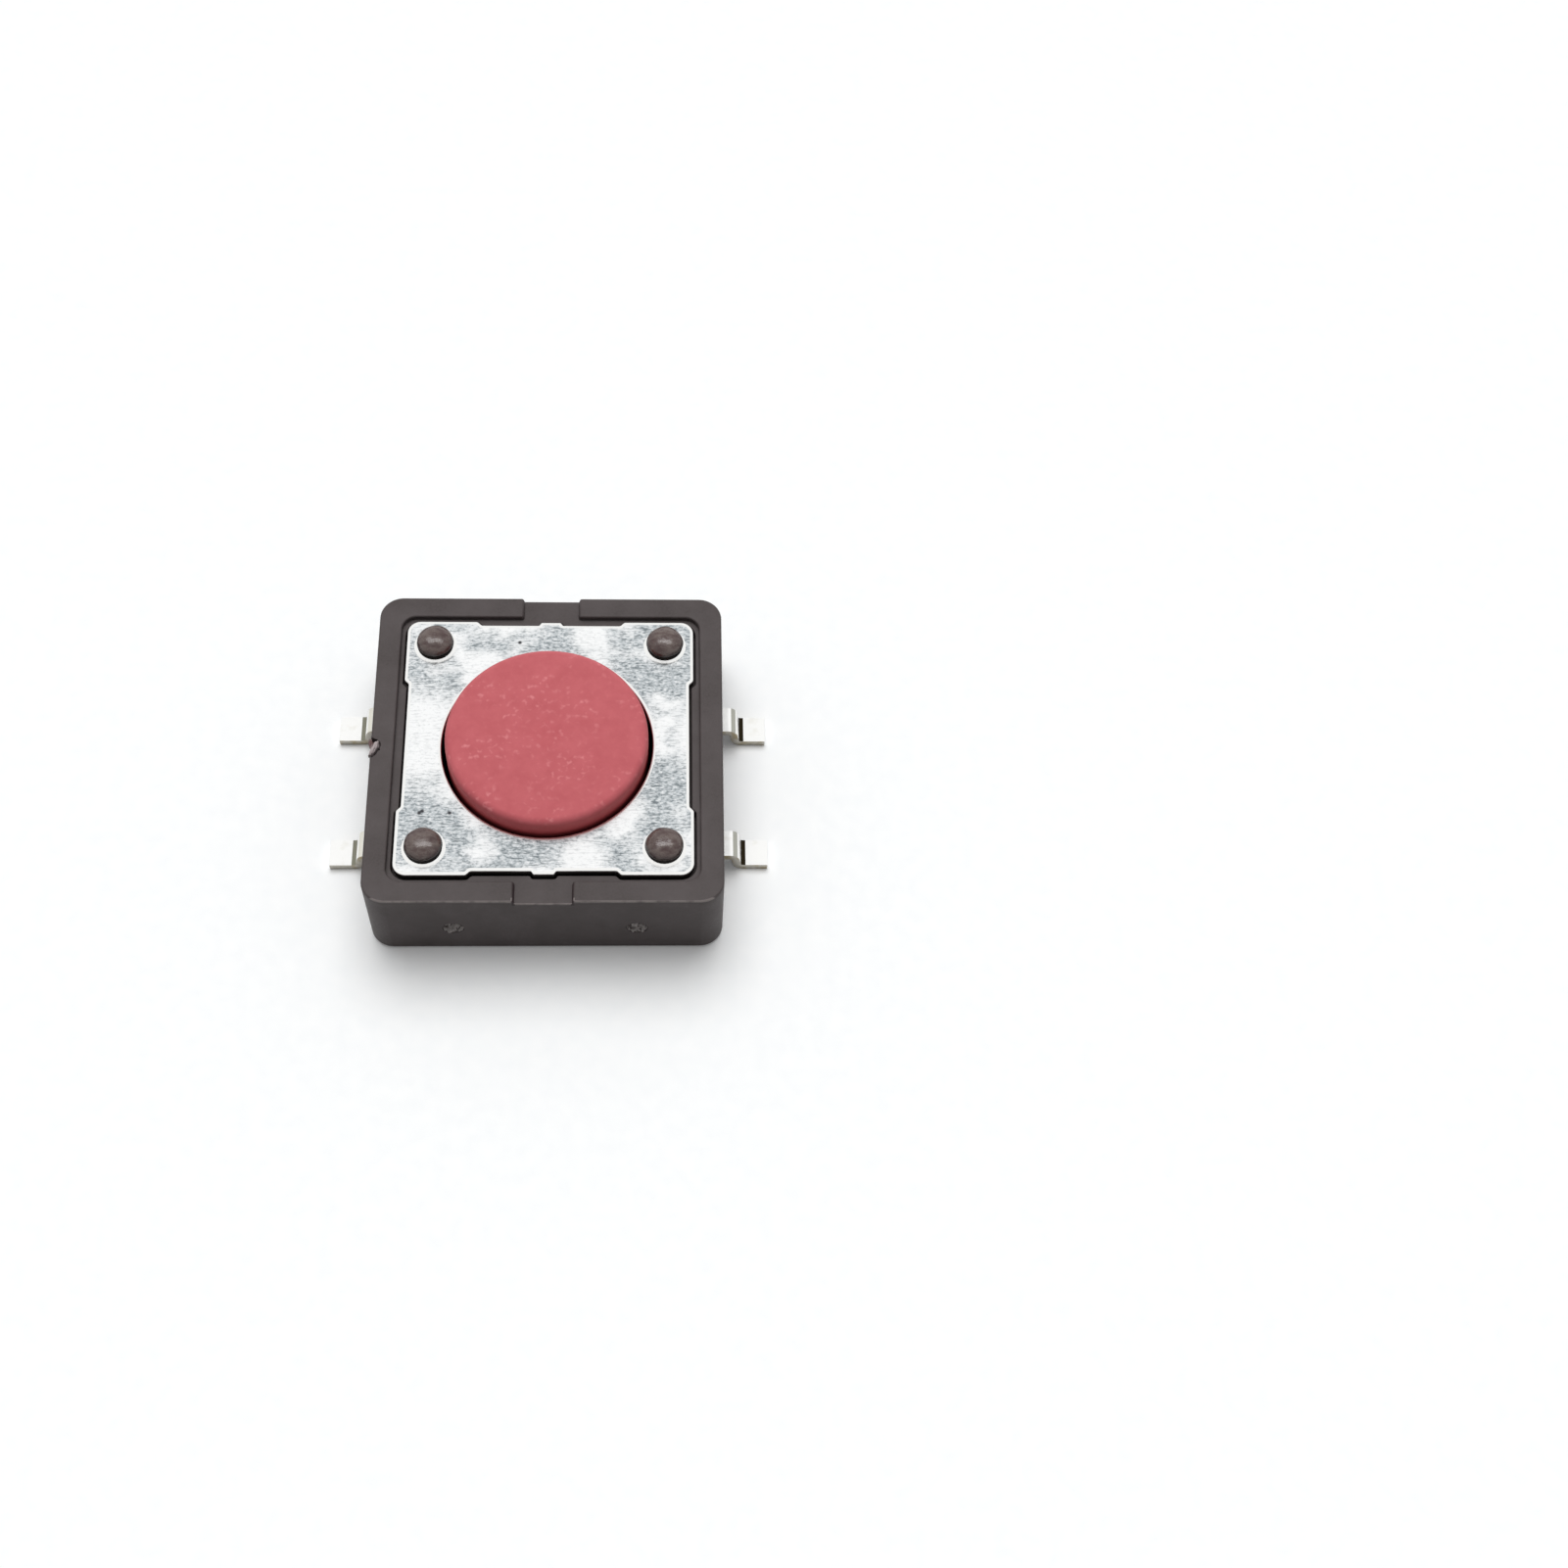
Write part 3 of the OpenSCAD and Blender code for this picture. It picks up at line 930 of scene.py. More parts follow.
@dataclass
class Piece:
    """A real piece of the switch, which stands for one CAD node."""

    name: str = ""
    node: str = ""
    slot: Slot = Slot.HOUSING
    body: Body = Body.SWITCH

    def build(self, *materials: Material) -> Object:
        """Makes the piece in metres, shaded smooth up to its creases, and puts it on its body.

        Args:
            *materials: Its materials, in the order of its faces' indices.

        Returns:
            The piece.
        """
        bm = bmesh.new()
        self.shape(bm)
        piece = finished(bm, self.name, list(materials))
        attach(piece, self.body.value)
        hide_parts(self.node)
        return piece

    def shape(self, bm: BMesh) -> None:
        """Makes the piece's mesh in millimetres and tells its faces' finishes apart."""
        raise NotImplementedError


@dataclass
class Housing(Piece):
    """The square moulding: rim, ledge, pocket, well, dome seat, staked posts and mould marks.

    Its faces are moulded unless they are of the melted heads, torn in the chip, torn at the gates or of
    the heads' feet, which take painted shade.
    """

    name: str = "housing_moulding"
    node: str = "base"
    corner_r: float = 0.8
    underside: float = 0.05
    rim_wall: float = 0.79
    rim_inner_r: float = 0.5
    edge_r: float = 0.07
    plate_gap: float = 0.08
    pocket_edge: float = 0.02
    groove_w: float = 0.2
    groove_z: float = 2.9
    post_r: float = 0.4
    head_tuck: float = 0.06
    head_edge: float = 0.19
    head_crown: float = 0.45
    # Height below which a head's faces take the painted shade of its overhang.
    shaded_foot_z: float = 3.76
    head_swell: float = 0.035
    hole_mouth: float = 0.03
    dimple_draw: float = 0.22
    pin_hole_r: float = 0.45
    pin_hole_depth: float = 0.72
    pin_hole_x: float = 4.4
    gate_r: float = 0.375
    gate_depth: float = 0.04
    gate_x: float = 3.08
    gate_z: float = 1.5
    # The torn stub's relief, its bumps to a millimetre, and its rings, each closer in by a share of its radius.
    gate_relief: float = 0.16
    gate_grain: float = 8
    gate_step: float = 0.08
    gate_rings: int = 11
    chip_at: Point = (-6.0, -0.12, 3.5)
    chip_size: Point = (0.38, 0.38, 0.45)
    # The chip's torn flake and flap: place, size and turn.
    shreds: tuple[tuple[Point, Point, float], ...] = (((-5.86, -0.05, 3.29), (0.38, 0.11, 0.2), 64),
                                                      ((-6.0, 0.1, 3.27), (0.09, 0.2, 0.17), 12))

    HEAD, TORN, STUB, FOOT = 1, 2, 3, 4

    def shape(self, bm: BMesh) -> None:
        """Makes the moulding, breaks its chip and marks its finishes.

        Args:
            bm: The mesh.
        """
        self._rim_and_walls(bm)
        self._underside(bm)
        self._gate_marks(bm)
        self._pocket(bm)
        outward(bm)
        self._chip(bm)
        outward(bm)
        self._dress(bm)

    def _rim_and_walls(self, bm: BMesh) -> None:
        """Raises the notched rim on a rounded block, closes it below and rounds its edges.

        Args:
            bm: The mesh.
        """
        inner_half = LAYOUT.half - self.rim_wall
        outer = rounded_square(bm, LAYOUT.half, self.corner_r, LAYOUT.ledge_z, CORNER_STEPS)
        inner = rounded_square(bm, inner_half, self.rim_inner_r, LAYOUT.ledge_z, CORNER_STEPS)
        bridge(bm, outer, inner)
        for x in (-LAYOUT.notch_half, LAYOUT.notch_half):
            bmesh.ops.bisect_plane(bm, geom=bm.verts[:] + bm.edges[:] + bm.faces[:], dist=TINY,
                                   plane_co=(x, 0, 0), plane_no=(1, 0, 0))
        raised = [f for f in bm.faces if abs(f.calc_center_median().x) > LAYOUT.notch_half]
        top = raise_faces(bm, raised, UP * (LAYOUT.rim_z - LAYOUT.ledge_z))
        for vert in top:
            if abs(abs(vert.co.x) - LAYOUT.notch_half) < TINY:
                vert.co.x *= 1 + LAYOUT.notch_slope / LAYOUT.notch_half
        border = [e for e in bm.edges if e.is_boundary and self._is_outer(e)]
        foot = pull(bm, border, Vector((0, 0, self.underside - LAYOUT.ledge_z)))
        bmesh.ops.contextual_create(bm, geom=foot)
        bmesh.ops.recalc_face_normals(bm, faces=bm.faces)
        round_edges(bm, corner_edges(bm, 30), self.edge_r, 3)

    def _is_outer(self, edge: BMEdge) -> bool:
        """Tells whether an edge lies on the moulding's outside and not round the rim's opening."""
        return all(max(abs(v.co.x), abs(v.co.y)) > LAYOUT.half - self.rim_wall / 2 for v in edge.verts)

    def _underside(self, bm: BMesh) -> None:
        """Opens the four support-pin holes in the flat underside.

        Args:
            bm: The mesh.
        """
        wires = [open_face(bm, min(bm.faces, key=lambda f: f.calc_center_median().z))]
        for x in (-self.pin_hole_x, self.pin_hole_x):
            for y in (-LAYOUT.strip_y, LAYOUT.strip_y):
                at = (x, y, self.underside)
                mouth_r = self.pin_hole_r + self.hole_mouth
                ring = circle(bm, mouth_r, at, HOLE_SIDES)
                wires.append(ring)
                turn(bm, ring, mouth_r,
                     [(self.pin_hole_r, self.hole_mouth), (self.pin_hole_r, self.pin_hole_depth)], at)
        fill(bm, *wires, facing=-UP)

    def _gate_marks(self, bm: BMesh) -> None:
        """Sinks the two gate marks in the front wall, each with the ragged stub of its gate.

        Args:
            bm: The mesh.
        """
        out = Vector((0, -1, 0))
        for x in (-self.gate_x, self.gate_x):
            at = Vector((x, -LAYOUT.half, self.gate_z))
            wall = min((f for f in bm.faces if f.normal.dot(out) > FACING and f.calc_area() > 1),
                       key=lambda f: (f.calc_center_median() - at).length)
            border = open_face(bm, wall)
            ring = circle(bm, self.gate_r, tuple(at), 40, out)
            fill(bm, border, ring, facing=out)
            known = set(bm.verts)
            r, d = self.gate_r, self.gate_depth
            levels = [(r * (1 - self.gate_step * i), -d) for i in range(1, self.gate_rings + 1)]
            turn(bm, ring, r, levels, tuple(at), out)
            for vert in bm.verts:
                if vert not in known and (vert.co - at).length < r * 0.88:
                    vert.co -= out * (self.gate_relief * noise.noise(vert.co * self.gate_grain))

    def _pocket(self, bm: BMesh) -> None:
        """Sinks the plate's pocket, the button's well and the dome's seat, and raises the posts.

        Args:
            bm: The mesh.
        """
        gap, edge = self.plate_gap, self.pocket_edge
        ledge = [e for e in bm.edges if e.is_boundary and not self._is_outer(e)
                 and all(abs(v.co.z - LAYOUT.ledge_z) < TINY for v in e.verts)]
        levels = [(gap + edge, LAYOUT.ledge_z), (gap, LAYOUT.ledge_z - edge), (gap, self.groove_z),
                  (-self.groove_w, self.groove_z), (-self.groove_w, LAYOUT.plate_z)]
        walls = [PLATE_OUTLINE.draw(bm, grow, z) for grow, z in levels]
        fill(bm, ledge, walls[0])
        bridge(bm, *walls)
        at = (0.0, 0.0, LAYOUT.plate_z)
        well = circle(bm, LAYOUT.well_r + edge, at, ROUND_SIDES)
        posts = [circle(bm, self.post_r, (x, y, LAYOUT.plate_z), POST_SIDES) for x, y in LAYOUT.posts()]
        fill(bm, walls[-1], well, *posts)
        for number, ((x, y), ring) in enumerate(zip(LAYOUT.posts(), posts)):
            self._staked_head(bm, ring, (x, y, LAYOUT.plate_z), number)
        drop = LAYOUT.plate_z - LAYOUT.step_z
        floor = turn(bm, well, LAYOUT.well_r + edge,
                     [(LAYOUT.well_r, -edge), (LAYOUT.well_r, -drop), (LAYOUT.dome_seat_r, -drop),
                      (LAYOUT.dome_seat_r, LAYOUT.floor_z - LAYOUT.plate_z)], at, closed=False)
        holes = []
        for (x, y), r in [*((p, LAYOUT.dimple_r) for p in LAYOUT.dome_dimples()),
                          ((0.0, 0.0), LAYOUT.centre_dimple_r)]:
            place = (x, y, LAYOUT.floor_z)
            ring = circle(bm, r + self.hole_mouth, place, HOLE_SIDES)
            holes.append(ring)
            turn(bm, ring, r + self.hole_mouth, [(r + 0.1, -self.dimple_draw)], place)
        fill(bm, floor, *holes)

    def _staked_head(self, bm: BMesh, ring: Edges, at: Point, number: int) -> None:
        """Draws one post up through the plate and swells it into its melted head.

        Args:
            bm: The mesh.
            ring: The post's foot.
            at: The foot's centre.
            number: Which of the four posts it is, so that no two are quite alike.
        """
        through, head = LAYOUT.rim_z - LAYOUT.plate_z, LAYOUT.head_r
        known = set(bm.verts)
        turns = [math.pi / 2 * i / 10 for i in range(10)]
        dome = [(head * math.cos(a), through + self.head_edge + self.head_crown * math.sin(a)) for a in turns]
        turn(bm, ring, self.post_r, [(self.post_r, through), (head - self.head_tuck, through), *dome], at)
        for vert in bm.verts:
            if vert not in known and vert.co.z > LAYOUT.rim_z + 0.01:
                swell = noise.noise(vert.co * 2.6 + Vector((7.3 * number, 0, 0)))
                vert.co += Vector((vert.co.x - at[0], vert.co.y - at[1], 0)) * (self.head_swell * swell)

    def _chip(self, bm: BMesh) -> None:
        """Breaks the chip out of the left rim's top edge, and leaves its torn shreds standing in it.

        Args:
            bm: The mesh.
        """
        cutter = bmesh.new()
        lump(cutter, self.chip_at, self.chip_size)
        cut_away(bm, cutter)
        for at, size, turned in self.shreds:
            lump(bm, at, size, turned, self.TORN)

    def _dress(self, bm: BMesh) -> None:
        """Gives the four melted heads and the two gate stubs their own finishes.

        Args:
            bm: The mesh.
        """
        for face in bm.faces:
            middle = face.calc_center_median()
            if middle.z > LAYOUT.rim_z + 0.001:
                # Below that height a head's faces take the painted shade.
                face.material_index = self.HEAD if middle.z > self.shaded_foot_z else self.FOOT
            elif middle.y < 0.1 - LAYOUT.half and math.hypot(
                    abs(middle.x) - self.gate_x, middle.z - self.gate_z) < self.gate_r * 0.95:
                face.material_index = self.STUB


def cut_away(bm: BMesh, cutter: BMesh) -> None:
    """Cuts a closed shape out of a mesh.

    Args:
        bm: The mesh, which keeps the result.
        cutter: The shape to cut away, which is used up.
    """
    pieces = []
    for name, part in (("kept", bm), ("cutter", cutter)):
        mesh = bpy.data.meshes.new(name)
        part.to_mesh(mesh)
        piece = bpy.data.objects.new(name, mesh)
        bpy.context.scene.collection.objects.link(piece)
        pieces.append(piece)
    kept, tool = pieces
    cut = kept.modifiers.new("cut", "BOOLEAN")
    cut.operation, cut.solver, cut.object = "DIFFERENCE", "EXACT", tool
    result = bpy.data.meshes.new_from_object(kept.evaluated_get(bpy.context.evaluated_depsgraph_get()))
    bm.clear()
    bm.from_mesh(result)
    cutter.free()
    for piece in pieces:
        bpy.data.objects.remove(piece)


@dataclass
class CoverPlate(Piece):
    """The stamped sheet that closes the housing, with the button's hole and four stake holes.

    Its cut edges are burnished above and sheared below, as the punch leaves them.
    """

    name: str = "steel_cover_plate"
    node: str = "cover_plate"
    slot: Slot = Slot.PLATE
    stake_r: float = 0.45
    die_roll: float = 0.04
    burnished_w: float = 0.07
    burnished_h: float = 0.05
    burr: float = 0.02
    collar_w: float = 0.29
    collar_rise: float = 0.035
    collar_lip: tuple[float, float] = (0.05, 0.005)
    collar_tuck: float = 0.02
    steps: int = 3

    BURNISHED, SHEARED = 1, 2

    def shape(self, bm: BMesh) -> None:
        """Makes the plate, rounded at its upper edges.

        Args:
            bm: The mesh.
        """
        levels = self._levels()
        outline = [PLATE_OUTLINE.draw(bm, -inset, z) for inset, z in levels]
        self._cut_edge(bm, outline)
        upper, lower = [outline[0]], [outline[-1]]
        holes = [((0.0, 0.0), LAYOUT.hole_r, ROUND_SIDES)]
        holes += [(p, self.stake_r, HOLE_SIDES) for p in LAYOUT.posts()]
        for (x, y), radius, segments in holes:
            rings = [circle(bm, radius + inset, (x, y, z), segments) for inset, z in levels]
            self._cut_edge(bm, rings)
            lower.append(rings[-1])
            if radius == self.stake_r:
                rings = self._collar(bm, (x, y), rings[0])
            upper.append(rings[0])
        fill(bm, *upper)
        fill(bm, *lower, facing=-UP)
        outward(bm)

    def _collar(self, bm: BMesh, at: tuple[float, float], hole: Edges) -> list[Edges]:
        """Lifts the sheet a little round a post, where staking has drawn it up and rubbed it bright.

        Args:
            bm: The mesh.
            at: The post's centre.
            hole: The uppermost ring of its hole.

        Returns:
            The collar's rings, from the outside in.
        """
        outer, low, (lip_w, lip_h) = self.stake_r + self.collar_w, LAYOUT.rim_z, self.collar_lip
        levels = [(outer, low), (outer - lip_w, low + lip_h),
                  (LAYOUT.head_r - self.collar_tuck, low + self.collar_rise)]
        rings = [circle(bm, r, (*at, z), HOLE_SIDES) for r, z in levels]
        for wall in bridge(bm, *rings, hole):
            for face in wall:
                face.material_index = self.BURNISHED
        return rings

    def _levels(self) -> Stations:
        """Gives how far the cut edge stands back at each height, from the top down.

        Returns:
            The distance and the height of each ring.
        """
        turns = [math.pi / 2 * i / self.steps for i in range(self.steps + 1)]
        rolled = [(self.die_roll * (1 - math.sin(a)), LAYOUT.rim_z - self.die_roll * (1 - math.cos(a)))
                  for a in turns]
        flat = (self.die_roll + self.burnished_w, LAYOUT.rim_z)
        sheared_from = rolled[-1][1] - self.burnished_h
        burr = [(0, LAYOUT.plate_z + self.burr), (self.burr, LAYOUT.plate_z)]
        return [flat, *rolled, (0, sheared_from), *burr]

    def _cut_edge(self, bm: BMesh, rings: list[Edges]) -> None:
        """Joins the rings of one cut edge, burnished down to the die roll and sheared below it.

        Args:
            bm: The mesh.
            rings: Its rings, from the top down.
        """
        for number, wall in enumerate(bridge(bm, *rings)):
            for face in wall:
                face.material_index = self.BURNISHED if number <= self.steps + 1 else self.SHEARED


@dataclass
class Button(Piece):
    """The round cap, with its flange under the plate, its nub and the ribs in its hollow."""

    name: str = "red_push_button"
    node: str = "button"
    slot: Slot = Slot.BUTTON
    body: Body = Body.BUTTON
    cap_r: float = 3.45
    top_z: float = 4.2
    fillet: float = 0.25
    flange_r: float = 4.15
    flange_z: float = 2.37
    flange_top: float = 3.17
    core_r: float = 2.75
    core_top: float = 3.3
    groove_r: float = 3.75
    groove_z: float = 2.82
    nub_r: float = 1.1
    nub_z: float = 1.78
    rib_t: float = 0.5
    rib_sunk: float = 0.1

    def shape(self, bm: BMesh) -> None:
        """Spins the button and sets the four ribs into its hollow.

        Args:
            bm: The mesh.
        """
        lathe(bm, [(0, self.nub_z, 0), (self.nub_r, self.nub_z, 0.2), (self.nub_r, self.core_top, 0),
                   (self.core_r, self.core_top, 0), (self.core_r, self.flange_z, 0.05),
                   (self.flange_r, self.flange_z, 0.06), (self.flange_r, self.flange_top, 0.06),
                   (self.groove_r, self.flange_top, 0.03), (self.groove_r, self.groove_z, 0.08),
                   (self.cap_r, self.groove_z, 0.08), (self.cap_r, self.top_z, self.fillet),
                   (0, self.top_z, 0)], segments=8, steps=160)
        outward(bm)
        length = self.core_r - self.nub_r + 2 * self.rib_sunk
        middle = (self.core_r + self.nub_r) / 2
        height = self.core_top + self.rib_sunk - self.flange_z
        for number in range(4):
            place = (Matrix.Rotation(number * math.pi / 2, 4, "Z")
                     @ Matrix.Translation((middle, 0, self.flange_z + height / 2))
                     @ Matrix.Diagonal((length, self.rib_t, height, 1)))
            bmesh.ops.create_cube(bm, size=1, matrix=place)


@dataclass
class ContactStrip(Piece):
    """One stamped strip, whose two ends come out of the housing as joggled solder leads.

    It is plated, darker in its leads' bends, painted with reflection over the outer bend, and half bare on its
    cut sides.
    """

    slot: Slot = Slot.CONTACT
    kind: Contact = Contact.OUTER
    width: float = 1.0
    thick: float = 0.3
    shoulder: float = 0.25
    bend_r: float = 0.07
    bend_deg: float = 80.0
    bend_steps: int = 8
    foot_len: float = 0.86
    arm_x: float = 3.284
    arm_w: float = 0.9
    arm_reach: float = 1.33
    tongue_w: float = 1.3
    tongue_reach: float = 0.62
    edge_r: float = 0.035
    hollow_mark_w: float = 0.085
    outer_grey_from: float = 0.1
    outer_grey_to: float = 0.28

    TARNISHED, CUT = 1, 2

    def __post_init__(self) -> None:
        """Names the strip for its kind."""
        self.name, self.node = self.kind.name.lower() + "_contact", self.kind.value

    def shape(self, bm: BMesh) -> None:
        """Cuts the flat blank, bends its leads and draws its dimples.

        Args:
            bm: The mesh.
        """
        blank = fill(bm, wire(bm, [(x, y, LAYOUT.strip_z, 0) for x, y in self._blank()], 1))
        joined = bmesh.ops.dissolve_faces(bm, faces=blank)["region"]
        made = bmesh.ops.extrude_face_region(bm, geom=joined)["geom"]
        bmesh.ops.translate(bm, verts=[g for g in made if isinstance(g, BMVert)], vec=UP * self.thick)
        bmesh.ops.recalc_face_normals(bm, faces=bm.faces)
        for side in (-1, 1):
            self._lead(bm, side)
        outward(bm)
        round_edges(bm, corner_edges(bm, 40), self.edge_r, 2)
        self._dimples(bm)
        outward(bm)
        for face in bm.faces:
            if abs(face.normal.y) > 0.8:
                face.material_index = self.CUT
            elif self._is_in_bend_mark(face.calc_center_median()):
                face.material_index = self.TARNISHED

    def _blank(self) -> list[tuple[float, float]]:
        """Gives the corners of the flat part, between the two leads' first bends.

        Returns:
            Their x and y.
        """
        end, back, half = LAYOUT.half + self.shoulder, LAYOUT.strip_y, self.width / 2
        if self.kind is Contact.OUTER:
            left, right = self.arm_x - self.arm_w / 2, self.arm_x + self.arm_w / 2
            near_y, reach = back - half, -self.arm_reach
            return [(end, near_y), (end, back + half), (-end, back + half), (-end, near_y),
                    (-right, near_y), (-right, reach), (-left, reach), (-left, near_y),
                    (left, near_y), (left, reach), (right, reach), (right, near_y)]
        side, far_y = self.tongue_w / 2, -back + half
        return [(end, -back - half), (end, far_y), (side, far_y), (side, self.tongue_reach),
                (-side, self.tongue_reach), (-side, far_y), (-end, far_y), (-end, -back - half)]

    def _lead(self, bm: BMesh, side: int) -> None:
        """Bends one end of the strip down to the board and out into its foot.

        Args:
            bm: The mesh.
            side: -1 for the lead on the left, 1 for the one on the right.
        """
        angle, first_x, foot_x, web = self._run()
        out = Vector((side, 0, 0))
        end = max(bm.faces, key=lambda f: f.calc_center_median().dot(out) * (f.normal.dot(out) > 0.99))
        end = self._bend(bm, end, (side * first_x, 0, LAYOUT.strip_z - self.bend_r), side * angle)
        end = self._draw(bm, end, Vector((side * math.cos(angle), 0, -math.sin(angle))) * web)
        end = self._bend(bm, end, (side * foot_x, 0, self.thick + self.bend_r), -side * angle)
        end = self._draw(bm, end, out * self.hollow_mark_w)
        self._draw(bm, end, out * (self.foot_len - self.hollow_mark_w))

    def _run(self) -> tuple[float, float, float, float]:
        """Gives a lead's bend angle, the x of its two bends' axes and the length between the bends.

        Returns:
            The angle, the two places and the length.
        """
        angle = math.radians(self.bend_deg)
        mid_r = self.bend_r + self.thick / 2
        web = (LAYOUT.strip_z - 2 * mid_r * (1 - math.cos(angle))) / math.sin(angle)
        first_x = LAYOUT.half + self.shoulder
        return angle, first_x, first_x + 2 * mid_r * math.sin(angle) + web * math.cos(angle), web

    def _is_in_bend_mark(self, at: Vector) -> bool:
        """Tells whether a place lies in the hollow of a foot's bend or over the shoulder's bend.

        Args:
            at: The place.

        Returns:
            Whether it does.
        """
        _, first_x, foot_x, _ = self._run()
        x, slack = abs(at.x), 0.015
        hollow = math.hypot(min(x - foot_x, 0), at.z - self.thick - self.bend_r) < self.bend_r + slack
        over = math.hypot(x - first_x, at.z - LAYOUT.strip_z + self.bend_r)
        on_skin = abs(over - self.bend_r - self.thick) < slack
        outer = on_skin and self.outer_grey_from < x - first_x < self.outer_grey_to
        return outer or (hollow and foot_x - self.bend_r < x < foot_x + self.hollow_mark_w)

    def _bend(self, bm: BMesh, end: BMFace, about: Point, angle: float) -> BMFace:
        """Spins the strip's end about a bend's axis.

        Args:
            bm: The mesh.
            end: The strip's end.
            about: A place on the bend's axis.
            angle: How far it turns.

        Returns:
            The new end.
        """
        made = bmesh.ops.spin(bm, geom=[end], cent=about, axis=(0, 1, 0), dvec=(0, 0, 0), angle=angle,
                              steps=self.bend_steps, use_merge=False, use_duplicate=False)
        if end.is_valid:
            bmesh.ops.delete(bm, geom=[end], context="FACES_ONLY")
        return next(g for g in made["geom_last"] if isinstance(g, BMFace))

    def _draw(self, bm: BMesh, end: BMFace, shift: Vector) -> BMFace:
        """Draws the strip's end straight out, and returns the new end."""
        moved = set(raise_faces(bm, [end], shift))
        return next(f for v in moved for f in v.link_faces if moved.issuperset(f.verts))

    def _dimples(self, bm: BMesh) -> None:
        """Draws the contact dimples up out of the strip, hollow from below.

        Args:
            bm: The mesh.
        """
        places = LAYOUT.dome_dimples() if self.kind is Contact.OUTER else [(0.0, 0.0)]
        top_r = LAYOUT.dimple_r if self.kind is Contact.OUTER else LAYOUT.centre_dimple_r
        flare, draw = 0.12, LAYOUT.contact_z - LAYOUT.strip_top
        for z, facing in ((LAYOUT.strip_top, UP), (LAYOUT.strip_z, -UP)):
            flat = max((f for f in bm.faces if f.normal.dot(facing) > FACING
                        and abs(f.calc_center_median().z - z) < TINY), key=lambda f: f.calc_area())
            wires = [open_face(bm, flat)]
            for x, y in places:
                start = top_r + flare if facing is UP else top_r
                ring = circle(bm, start, (x, y, z), HOLE_SIDES)
                wires.append(ring)
                turn(bm, ring, start, [(start - flare + 0.03, draw - 0.02), (start - flare, draw)], (x, y, z))
            fill(bm, *wires, facing=facing)


@dataclass
class PressedSheet(Piece):
    """A thin domed sheet round the button's axis, which flattens as the button comes down."""

    bulge_r: float = 3.6
    rise: float = 0.3
    foot_z: float = LAYOUT.contact_z
    thickness: float = 0.1
    keep: float = 0.43

    def build(self, *materials: Material) -> Object:
        """Makes the sheet and gives it a mesh of its own.

        Args:
            *materials: Its materials.

        Returns:
            The piece.
        """
        piece = super().build(*materials)
        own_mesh(piece)
        return piece

    def shape(self, bm: BMesh) -> None:
        """Draws the sheet's underside and gives it its thickness upwards.

        Args:
            bm: The mesh.
        """
        self._bulge(bm)
        bmesh.ops.recalc_face_normals(bm, faces=bm.faces)
        if sum(f.normal.z for f in bm.faces) > 0:
            bmesh.ops.reverse_faces(bm, faces=bm.faces)
        bmesh.ops.solidify(bm, geom=bm.faces[:], thickness=self.thickness)
        bmesh.ops.recalc_face_normals(bm, faces=bm.faces)

    def _bulge(self, bm: BMesh) -> Edges:
        """Draws the cap of a large sphere.

        Args:
            bm: The mesh.

        Returns:
            The edges round it.
        """
        sphere = (self.bulge_r ** 2 + self.rise ** 2) / (2 * self.rise)
        top = self.foot_z + self.rise
        centre = (0, 0, top - sphere)
        start = bm.verts.new((0, 0, top))
        bmesh.ops.spin(bm, geom=[start], cent=centre, axis=(0, 1, 0), dvec=(0, 0, 0), steps=14,
                       angle=math.asin(self.bulge_r / sphere), use_merge=False, use_duplicate=False)
        bmesh.ops.spin(bm, geom=bm.verts[:] + bm.edges[:], cent=centre, axis=UP, dvec=(0, 0, 0),
                       angle=FULL_TURN, steps=96, use_merge=True, use_duplicate=False)
        bmesh.ops.remove_doubles(bm, verts=bm.verts, dist=TINY)
        return [e for e in bm.edges if e.is_boundary]


@dataclass
class SnapDome(PressedSheet):
    """The domed spring disc that clicks when the button is pressed."""

    name: str = "snap_dome_disc"
    node: str = "snap_dome"
    slot: Slot = Slot.DOME


@dataclass
class SealingFilm(PressedSheet):
    """The film over the dome, with its flat margin on the step in the well."""

    name: str = "sealing_film_sheet"
    node: str = "sealing_film"
    slot: Slot = Slot.FILM
    bulge_r: float = 3.75
    rise: float = 0.34
    foot_z: float = LAYOUT.step_z
    thickness: float = 0.05
    keep: float = 0.235
    edge_r: float = 4.17

    def _bulge(self, bm: BMesh) -> Edges:
        """Draws the bulge and its flat margin, and returns the edges round that."""
        border = super()._bulge(bm)
        return turn(bm, border, self.bulge_r, [(self.edge_r, 0)], (0, 0, self.foot_z), closed=False)


# The studio.


